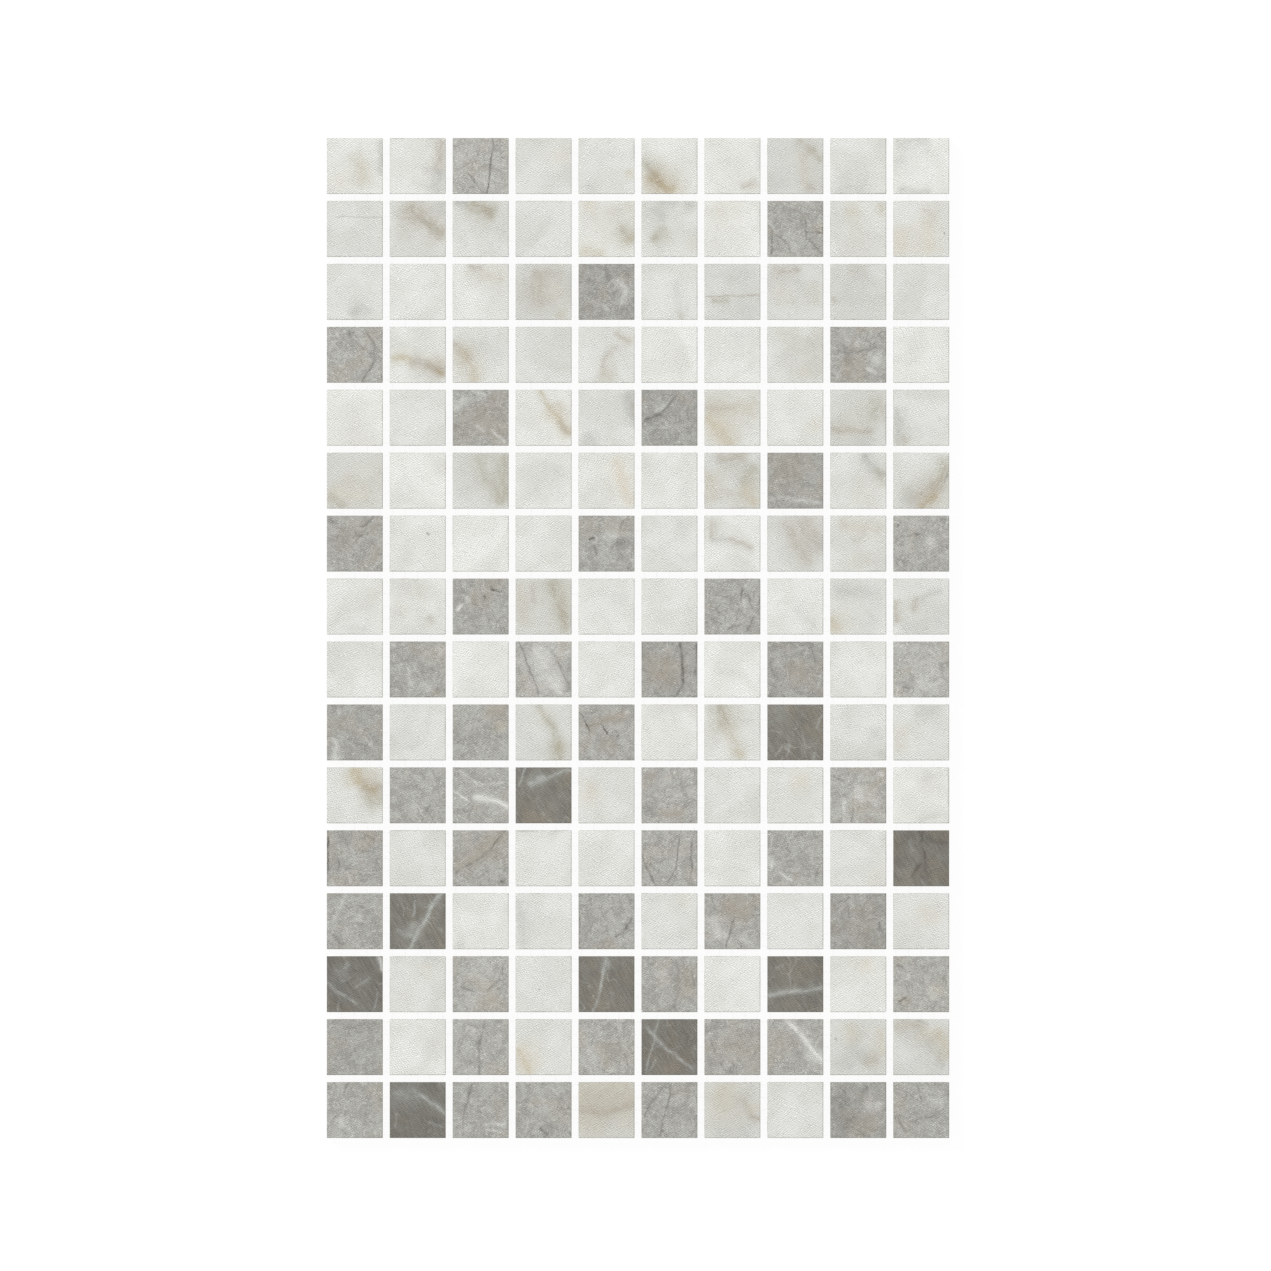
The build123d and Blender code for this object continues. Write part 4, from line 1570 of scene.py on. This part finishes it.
def lay_tree() -> bpy.types.NodeTree:
    """Builds the geometry tree that lays copies of one chip and nicks their sawn edges.

    Returns:
        The tree; its inputs are the places, the chip, the nicks' depth and length, a seed and two finishes.
    """
    inputs = {
        "Places": "Geometry",
        "Chip": "Object",
        "Nick Depth": "Float",
        "Nick Length": "Float",
        "Seed": "Float",
        "Glaze": "Material",
        "Body": "Material",
    }
    sheet = group_sheet("GeometryNodeTree", "lay chips", inputs, {"Chips": "Geometry"})
    given = sheet.node("NodeGroupInput").outputs

    def stored(name: str, kind: str) -> Socket:
        """Reads one attribute of the laid chips."""
        return sheet.node("GeometryNodeInputNamedAttribute", {"Name": name}, data_type=kind).outputs[0]

    chip = sheet.node("GeometryNodeObjectInfo", {"Object": given["Chip"]}).outputs["Geometry"]
    feeds = {"Points": given["Places"], "Instance": chip}
    laid = sheet.node("GeometryNodeInstanceOnPoints", feeds).outputs[0]
    real = sheet.node("GeometryNodeRealizeInstances", {"Geometry": laid}).outputs[0]

    # Nicks push the arris towards the middle of its chip, and never outwards
    per_nick = sheet.math("DIVIDE", 1.0, given["Nick Length"])
    spot = sheet.scaled(sheet.node("GeometryNodeInputPosition").outputs[0], per_nick)
    feeds = {"Vector": spot, "W": given["Seed"], "Scale": 1.0, "Detail": 2.0}
    rough = sheet.node("ShaderNodeTexNoise", feeds, noise_dimensions="4D").outputs[0]
    bite = sheet.math("MULTIPLY", sheet.span(rough, *NICKED), given["Nick Depth"])
    bite = sheet.math("MULTIPLY", bite, stored("nick", "FLOAT"))
    inward = sheet.vector("MULTIPLY", stored("place", "FLOAT_VECTOR"), (-PER_REACH, -PER_REACH, 0.0))
    feeds = {"Geometry": real, "Offset": sheet.scaled(inward, bite)}
    nicked = sheet.node("GeometryNodeSetPosition", feeds).outputs[0]

    # Each chip's map moves into the cell that is kept for it
    column, row, size = sheet.split(stored("cell", "FLOAT_VECTOR"))
    moved = sheet.vector("ADD", stored(BAKE_MAP, "FLOAT_VECTOR"), sheet.joined(column, row, 0.0))
    mapped = sheet.node(
        "GeometryNodeStoreNamedAttribute",
        {"Geometry": nicked, "Name": BAKE_MAP, "Value": sheet.scaled(moved, size)},
        data_type="FLOAT2",
        domain="CORNER",
    ).outputs[0]
    fired = sheet.node("GeometryNodeSetMaterial", {"Geometry": mapped, "Material": given["Body"]}).outputs[0]
    feeds = {"Geometry": fired, "Selection": stored("glazed", "BOOLEAN"), "Material": given["Glaze"]}
    sheet.node("NodeGroupOutput", {"Chips": sheet.node("GeometryNodeSetMaterial", feeds).outputs[0]})
    return sheet.tree


def yarn_tree() -> bpy.types.NodeTree:
    """Builds the geometry tree that spins flat yarns along one way and lets them ride over what they cross.

    Returns:
        The tree; its inputs are the yarns' middles, half their run, their section, their ripple and a finish.
    """
    inputs = {
        "Middles": "Geometry",
        "Half Run": "Vector",
        "Steps": "Int",
        "Width": "Float",
        "Thickness": "Float",
        "Ripple": "Float",
        "Ripple Turns": "Vector",
        "Sway": "Float",
        "Yarn": "Material",
    }
    sheet = group_sheet("GeometryNodeTree", "spin yarns", inputs, {"Yarns": "Geometry"})
    given = sheet.node("NodeGroupInput").outputs
    back = sheet.scaled(given["Half Run"], -1.0)
    line = sheet.node("GeometryNodeCurvePrimitiveLine", {"Start": back, "End": given["Half Run"]}).outputs[0]
    even = sheet.node("GeometryNodeResampleCurve", {"Curve": line, "Count": given["Steps"]}).outputs[0]
    feeds = {"Points": given["Middles"], "Instance": even}
    laid = sheet.node("GeometryNodeInstanceOnPoints", feeds).outputs[0]
    real = sheet.node("GeometryNodeRealizeInstances", {"Geometry": laid}).outputs[0]

    # A ripple lifts each yarn between crossings, and a slow sway keeps it from being ruled
    spot = sheet.node("GeometryNodeInputPosition").outputs[0]
    phase = sheet.vector("DOT_PRODUCT", spot, given["Ripple Turns"])
    swing = sheet.math("MULTIPLY", sheet.math("SUBTRACT", 1.0, sheet.math("COSINE", phase)), 0.5)
    lift = sheet.joined(0.0, 0.0, sheet.math("MULTIPLY", swing, given["Ripple"]))
    wander = sheet.drift(sheet.scaled(spot, 1 / MM), SWAYS_PER_MM, 1.0)
    sway = sheet.scaled(sheet.vector("MULTIPLY", wander, (1.0, 1.0, 0.0)), given["Sway"])
    feeds = {"Geometry": real, "Offset": sheet.vector("ADD", lift, sway)}
    waved = sheet.node("GeometryNodeSetPosition", feeds).outputs[0]
    upright = sheet.node("GeometryNodeSetCurveNormal", {"Curve": waved}, mode="Z_UP").outputs[0]
    feeds = {"Resolution": YARN_SIDES, "Radius": 0.5}
    circle = sheet.node("GeometryNodeCurvePrimitiveCircle", feeds).outputs[0]
    feeds = {"Geometry": circle, "Scale": sheet.joined(given["Width"], given["Thickness"], 1.0)}
    section = sheet.node("GeometryNodeTransform", feeds).outputs[0]
    feeds = {"Curve": upright, "Profile Curve": section, "Fill Caps": True}
    spun = sheet.node("GeometryNodeCurveToMesh", feeds).outputs[0]
    finished = sheet.node("GeometryNodeSetMaterial", {"Geometry": spun, "Material": given["Yarn"]}).outputs[0]
    sheet.node("NodeGroupOutput", {"Yarns": finished})
    return sheet.tree


def solid_boxes(node: str) -> list[tuple[Vector, Vector]]:
    """Finds the separate solids of one CAD node.

    Args:
        node: The node's name.

    Returns:
        The lowest and highest corner of each solid.
    """
    copy = bmesh.new()
    copy.from_mesh(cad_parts[node].data)
    bmesh.ops.remove_doubles(copy, verts=copy.verts[:], dist=0.001 * MM)
    waiting = set(copy.verts)
    boxes = []
    while waiting:
        solid = [waiting.pop()]
        for vert in solid:
            found = {edge.other_vert(vert) for edge in vert.link_edges} & waiting
            waiting -= found
            solid.extend(found)
        low = Vector([min(vert.co[axis] for vert in solid) for axis in range(3)])
        high = Vector([max(vert.co[axis] for vert in solid) for axis in range(3)])
        boxes.append((low, high))
    copy.free()
    return boxes


def point_carrier(name: str, points: list[Vector]) -> bpy.types.Object:
    """Makes a linked object that holds points alone, for a geometry tree to work on."""
    mesh = bpy.data.meshes.new(name)
    mesh.from_pydata(points, [], [])
    carrier = bpy.data.objects.new(name, mesh)
    bpy.context.scene.collection.objects.link(carrier)
    return carrier


def store(mesh: bpy.types.Mesh, name: str, kind: str, values: list) -> None:
    """Stores one value for each point of a mesh.

    Args:
        mesh: The mesh of points.
        name: The attribute's name.
        kind: "FLOAT", "FLOAT_VECTOR" or "FLOAT_COLOR".
        values: One number, vector or colour for each point.
    """
    field = {"FLOAT": "value", "FLOAT_VECTOR": "vector", "FLOAT_COLOR": "color"}[kind]
    layer = mesh.attributes.new(name, kind, "POINT")
    for item, value in zip(layer.data, values):
        setattr(item, field, value)


def grown_piece(
    carrier: bpy.types.Object, tree: bpy.types.NodeTree, settings: dict[str, object]
) -> bpy.types.Object:
    """Runs a geometry tree on a carrier and keeps the result as a plain mesh.

    Args:
        carrier: The object with the points, which is removed afterwards.
        tree: The geometry tree.
        settings: Values for the tree's inputs, by name.

    Returns:
        The piece, at the origin and with no modifier.
    """
    modifier = carrier.modifiers.new("grow", "NODES")
    modifier.node_group = tree
    sockets = {item.name: item.identifier for item in tree.interface.items_tree if item.in_out == "INPUT"}
    for name, value in settings.items():
        modifier[sockets[name]] = value
    depsgraph = bpy.context.evaluated_depsgraph_get()
    mesh = bpy.data.meshes.new_from_object(
        carrier.evaluated_get(depsgraph), preserve_all_data_layers=True, depsgraph=depsgraph
    )
    name = carrier.name
    bpy.data.objects.remove(carrier)
    mesh.name = name
    piece = bpy.data.objects.new(name, mesh)
    bpy.context.scene.collection.objects.link(piece)
    return piece


def stray(draw: random.Random, reach: float) -> float:
    """Draws a number that lies no further from nought than the reach."""
    return draw.uniform(-reach, reach)


@dataclass(frozen=True)
class LaidChip:
    """One chip of the mosaic: its tone, its row and column from the top left, and the middle of its face."""

    tone: Tone
    row: int
    column: int
    middle: Vector

    def shade(self) -> Shade:
        """How light the chip's ground is."""
        for shade, rows in SHADED_CHIPS.items():
            if self.column in rows.get(self.row, ()):
                return shade
        return Shade.PLAIN

    def vein(self, number: int) -> Vein:
        """The chip's own vein of a number, from nought, or one that doesn't show."""
        veins = VEINS.get((self.row, self.column), ())
        return veins[number] if number < len(veins) else NO_VEIN


class Mosaic:
    """The chips of all tones, laid as the CAD nodes have them."""

    nick_depth = 0.12 * MM
    nick_length = 3.0 * MM
    batch_reach = 400.0  # how far from the middle the chips read their noise, in millimetres
    shade_spread = 0.015  # how far a chip's ground strays from its shade
    turn_spread = 0.4  # how far its relief strays from level, in radians

    def __init__(self) -> None:
        """Reads each chip's tone, place and size from the CAD nodes."""
        boxes = [(tone, *box) for tone in Tone for box in solid_boxes(f"{tone.value}_chips")]
        _, low, high = boxes[0]
        self.form = ChipForm(side=high.x - low.x, height=high.z - low.z)
        middles = [(tone, self.face_middle(low, high)) for tone, low, high in boxes]
        across = sorted({self.place_key(middle.x) for _, middle in middles})
        down = sorted({self.place_key(middle.y) for _, middle in middles}, reverse=True)
        self.chips = []
        for tone, middle in middles:
            row = down.index(self.place_key(middle.y)) + 1
            column = across.index(self.place_key(middle.x)) + 1
            self.chips.append(LaidChip(tone, row, column, middle))
        self.rows = len(down)

    @staticmethod
    def face_middle(low: Vector, high: Vector) -> Vector:
        """The middle of a chip's face, from the chip's lowest and highest corner."""
        return Vector(((low.x + high.x) / 2, (low.y + high.y) / 2, high.z))

    @staticmethod
    def place_key(length: float) -> int:
        """A length to the nearest tenth of a millimetre, to tell rows and columns by."""
        return round(length / (0.1 * MM))

    @staticmethod
    def cells(count: int) -> list[Vector]:
        """Cells of a square bake map: column, row and size of each chip's own."""
        columns = ceil(sqrt(count))
        return [Vector((number % columns, number // columns, 1 / columns)) for number in range(count)]

    def place_veins(self, mesh: bpy.types.Mesh, chips: list[LaidChip]) -> None:
        """Stores every chip's veins on the points that the chips are laid on."""
        for number in range(VEIN_LIMIT):
            veins = [chip.vein(number) for chip in chips]
            store(mesh, f"vein_{number + 1}_lie", "FLOAT_VECTOR", [vein.lie() for vein in veins])
            store(mesh, f"vein_{number + 1}_shape", "FLOAT_VECTOR", [vein.shape() for vein in veins])
            store(mesh, f"vein_{number + 1}_tint", "FLOAT_COLOR", [vein.cover() for vein in veins])

    def lay_row(
        self, tone: Tone, row: int, tree: bpy.types.NodeTree, settings: dict[str, object]
    ) -> bpy.types.Object | None:
        """Lays the chips of one tone in one row.

        Args:
            tone: Which chips.
            row: The row, from one at the top.
            tree: The geometry tree that lays chips.
            settings: The tree's inputs that all rows share.

        Returns:
            The row's chips as one piece, or None where it has none of that tone.
        """
        chips = sorted((c for c in self.chips if c.tone is tone and c.row == row), key=lambda c: c.column)
        if not chips:
            return None
        carrier = point_carrier(f"{tone.value}_chips_row_{row:02d}", [chip.middle for chip in chips])
        mesh = carrier.data
        draws = [random.Random(100 * chip.row + chip.column) for chip in chips]
        batches = [Vector([stray(draw, self.batch_reach) for _ in range(3)]) for draw in draws]
        shades = [chip.shade().value + stray(draw, self.shade_spread) for chip, draw in zip(chips, draws)]
        store(mesh, "batch", "FLOAT_VECTOR", batches)
        store(mesh, "turn", "FLOAT", [stray(draw, self.turn_spread) for draw in draws])
        store(mesh, "shade", "FLOAT", shades)
        store(mesh, "cell", "FLOAT_VECTOR", self.cells(len(chips)))
        self.place_veins(mesh, chips)
        return grown_piece(carrier, tree, settings | {"Seed": float(row)})

    def build(self, glazes: dict[Tone, MarbleGlaze], body: BisqueBody) -> list[bpy.types.Object]:
        """Lays every row, attaches its pieces to the root body and hides the CAD nodes of the chips.

        Args:
            glazes: The glaze of each tone.
            body: The clay under the glaze.

        Returns:
            The rows' pieces.
        """
        tree = lay_tree()
        master = self.form.master()
        master.data.materials.append(body.material)
        pieces = []
        for tone in Tone:
            settings = {
                "Chip": master,
                "Nick Depth": self.nick_depth,
                "Nick Length": self.nick_length,
                "Glaze": glazes[tone].material,
                "Body": body.material,
            }
            for row in range(1, self.rows + 1):
                piece = self.lay_row(tone, row, tree, settings)
                if piece is None:
                    continue
                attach(piece, "root")
                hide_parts(f"{tone.value}_chips")
                pieces.append(piece)
        bpy.data.objects.remove(master)
        return pieces


@dataclass(frozen=True)
class YarnLayer:
    """One layer of the backing mesh.

    Attributes:
        node: The CAD node that it stands for.
        ripple: How far a yarn rises, or sags if negative, between the yarns that it crosses.
        sway: How far it wanders sideways.
        steps_per_crossing: Points along a yarn from one crossing to the next.
    """

    node: str
    ripple: float
    sway: float = 0.25 * MM
    steps_per_crossing: int = 2

    def build(self, tree: bpy.types.NodeTree, yarn: GlassYarn, crossings: int) -> bpy.types.Object:
        """Spins the layer's yarns, attaches the piece to the root body and hides the layer's CAD node.

        Args:
            tree: The geometry tree that spins yarns.
            yarn: Their finish.
            crossings: How many yarns of the other layer each one crosses.

        Returns:
            The layer as one piece.
        """
        boxes = solid_boxes(self.node)
        low, high = boxes[0]
        size = high - low
        along = 0 if size.x > size.y else 1
        half_run = Vector((0.0, 0.0, 0.0))
        half_run[along] = size[along] / 2
        turns = Vector((0.0, 0.0, 0.0))
        turns[along] = 2 * pi * crossings / size[along]
        carrier = point_carrier(self.node + "_yarns", [(low + high) / 2 for low, high in boxes])
        settings = {
            "Half Run": half_run,
            "Steps": crossings * self.steps_per_crossing + 1,
            "Width": size[1 - along],
            "Thickness": size.z,
            "Ripple": self.ripple,
            "Ripple Turns": turns,
            "Sway": self.sway,
            "Yarn": yarn.material,
        }
        piece = grown_piece(carrier, tree, settings)
        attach(piece, "root")
        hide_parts(self.node)
        return piece


class StudioFloor(Finish):
    """White studio floor: plain white where it is looked at, and matt white for light and shadow."""

    name = "studio_floor"
    matt_white = paint(232, 232, 232)  # for the light that it throws back
    shadow_veil = paint(72, 72, 72)  # the share of what is looked at that takes shadows
    glow = 0.95  # the share that takes none

    def dress(self, sheet: NodeSheet) -> None:
        """Writes a matt floor with an even glow for the eye and for reflections."""
        matt = sheet.node("ShaderNodeBsdfDiffuse", {"Color": self.matt_white}).outputs[0]
        faint = sheet.node("ShaderNodeBsdfDiffuse", {"Color": self.shadow_veil}).outputs[0]
        glow = sheet.node("ShaderNodeEmission", {"Color": WHITE, "Strength": self.glow}).outputs[0]
        lit = sheet.node("ShaderNodeAddShader", {0: faint, 1: glow}).outputs[0]
        shown = sheet.node("ShaderNodeMixShader", {0: sheet.looked_at(), 1: matt, 2: lit}).outputs[0]
        sheet.node("ShaderNodeOutputMaterial", {"Surface": shown})


@dataclass(frozen=True)
class Studio:
    """The floor, the light and the camera.

    Attributes:
        sky: Strength of the even light from all round.
        sun: Strength of the soft key light.
        sun_from: Where the key light comes from.
        sun_spread: How wide the key light looks, which softens its shadows.
        shift: How far the view's middle lies from the tile's, in pixels of the photograph, right and up.
        floor_gap: How far the floor lies under the lowest yarns.
        floor_side: Length of the floor's sides.
        camera_height: How high the camera hangs over the underside of the mesh.
    """

    sky: float = 0.55
    sun: float = 2.0
    sun_from: tuple[float, float, float] = (-0.6, 0.55, 0.75)
    sun_spread: float = radians(24)
    shift: tuple[float, float] = (-2.5, 2.5)
    floor_gap: float = 0.05 * MM
    floor_side: float = 6.0
    camera_height: float = 1.0

    def lay_floor(self) -> None:
        """Lays the floor, which is no part of the tile."""
        half = self.floor_side / 2
        level = CAD_BOX[0].z - self.floor_gap
        mesh = bpy.data.meshes.new("floor")
        corners = [(-half, -half, level), (half, -half, level), (half, half, level), (-half, half, level)]
        mesh.from_pydata(corners, [], [(0, 1, 2, 3)])
        mesh.materials.append(StudioFloor().material)
        floor = bpy.data.objects.new("floor", mesh)
        bpy.context.scene.collection.objects.link(floor)

    def light(self) -> None:
        """Sets the even light from all round and the soft key light."""
        world = bpy.data.worlds.new("studio")
        world.use_nodes = True
        bpy.context.scene.world = world
        sheet = NodeSheet(world.node_tree)
        strength = sheet.span(sheet.looked_at(), 0.0, 1.0, self.sky, 1.0)
        feeds = {"Color": WHITE, "Strength": strength}
        sheet.node("ShaderNodeOutputWorld", {"Surface": sheet.node("ShaderNodeBackground", feeds).outputs[0]})
        lamp = bpy.data.lights.new("key", "SUN")
        lamp.energy = self.sun
        lamp.angle = self.sun_spread
        key = bpy.data.objects.new("key", lamp)
        key.rotation_mode = "QUATERNION"
        key.rotation_quaternion = (-Vector(self.sun_from)).to_track_quat("-Z", "Y")
        bpy.context.scene.collection.objects.link(key)

    def aim_camera(self) -> None:
        """Hangs a camera over the tile that looks straight down, as the photograph does."""
        lens = bpy.data.cameras.new("camera")
        lens.type = "ORTHO"
        lens.ortho_scale = PHOTO_PIXELS * PIXEL
        camera = bpy.data.objects.new("camera", lens)
        middle = (CAD_BOX[0] + CAD_BOX[1]) / 2
        right, up = self.shift
        camera.location = (middle.x + right * PIXEL, middle.y + up * PIXEL, self.camera_height)
        bpy.context.scene.collection.objects.link(camera)
        bpy.context.scene.camera = camera

    def build(self) -> None:
        """Sets the whole studio."""
        bpy.context.scene.view_settings.view_transform = "Standard"
        self.lay_floor()
        self.light()
        self.aim_camera()


def main() -> None:
    """Builds the mosaic, its backing mesh and the studio."""
    logging.basicConfig(level=logging.INFO, format="%(name)s: %(message)s")
    veins = SoftVein().build()
    glazes = {Tone.PALE: PaleGlaze(veins), Tone.GREY: GreyGlaze(veins), Tone.DARK: DarkGlaze(veins)}
    pieces = Mosaic().build(glazes, BisqueBody())
    yarn = GlassYarn()
    tree = yarn_tree()
    counts = {node: len(solid_boxes(node)) for node in ("weft_strands", "warp_strands")}
    pieces.append(YarnLayer("weft_strands", ripple=0.05 * MM).build(tree, yarn, counts["warp_strands"]))
    pieces.append(YarnLayer("warp_strands", ripple=-0.12 * MM).build(tree, yarn, counts["weft_strands"]))
    Studio().build()
    for piece in pieces:
        LOG.info("%s: %d faces", piece.name, len(piece.data.polygons))


if __name__ == "__main__":
    main()
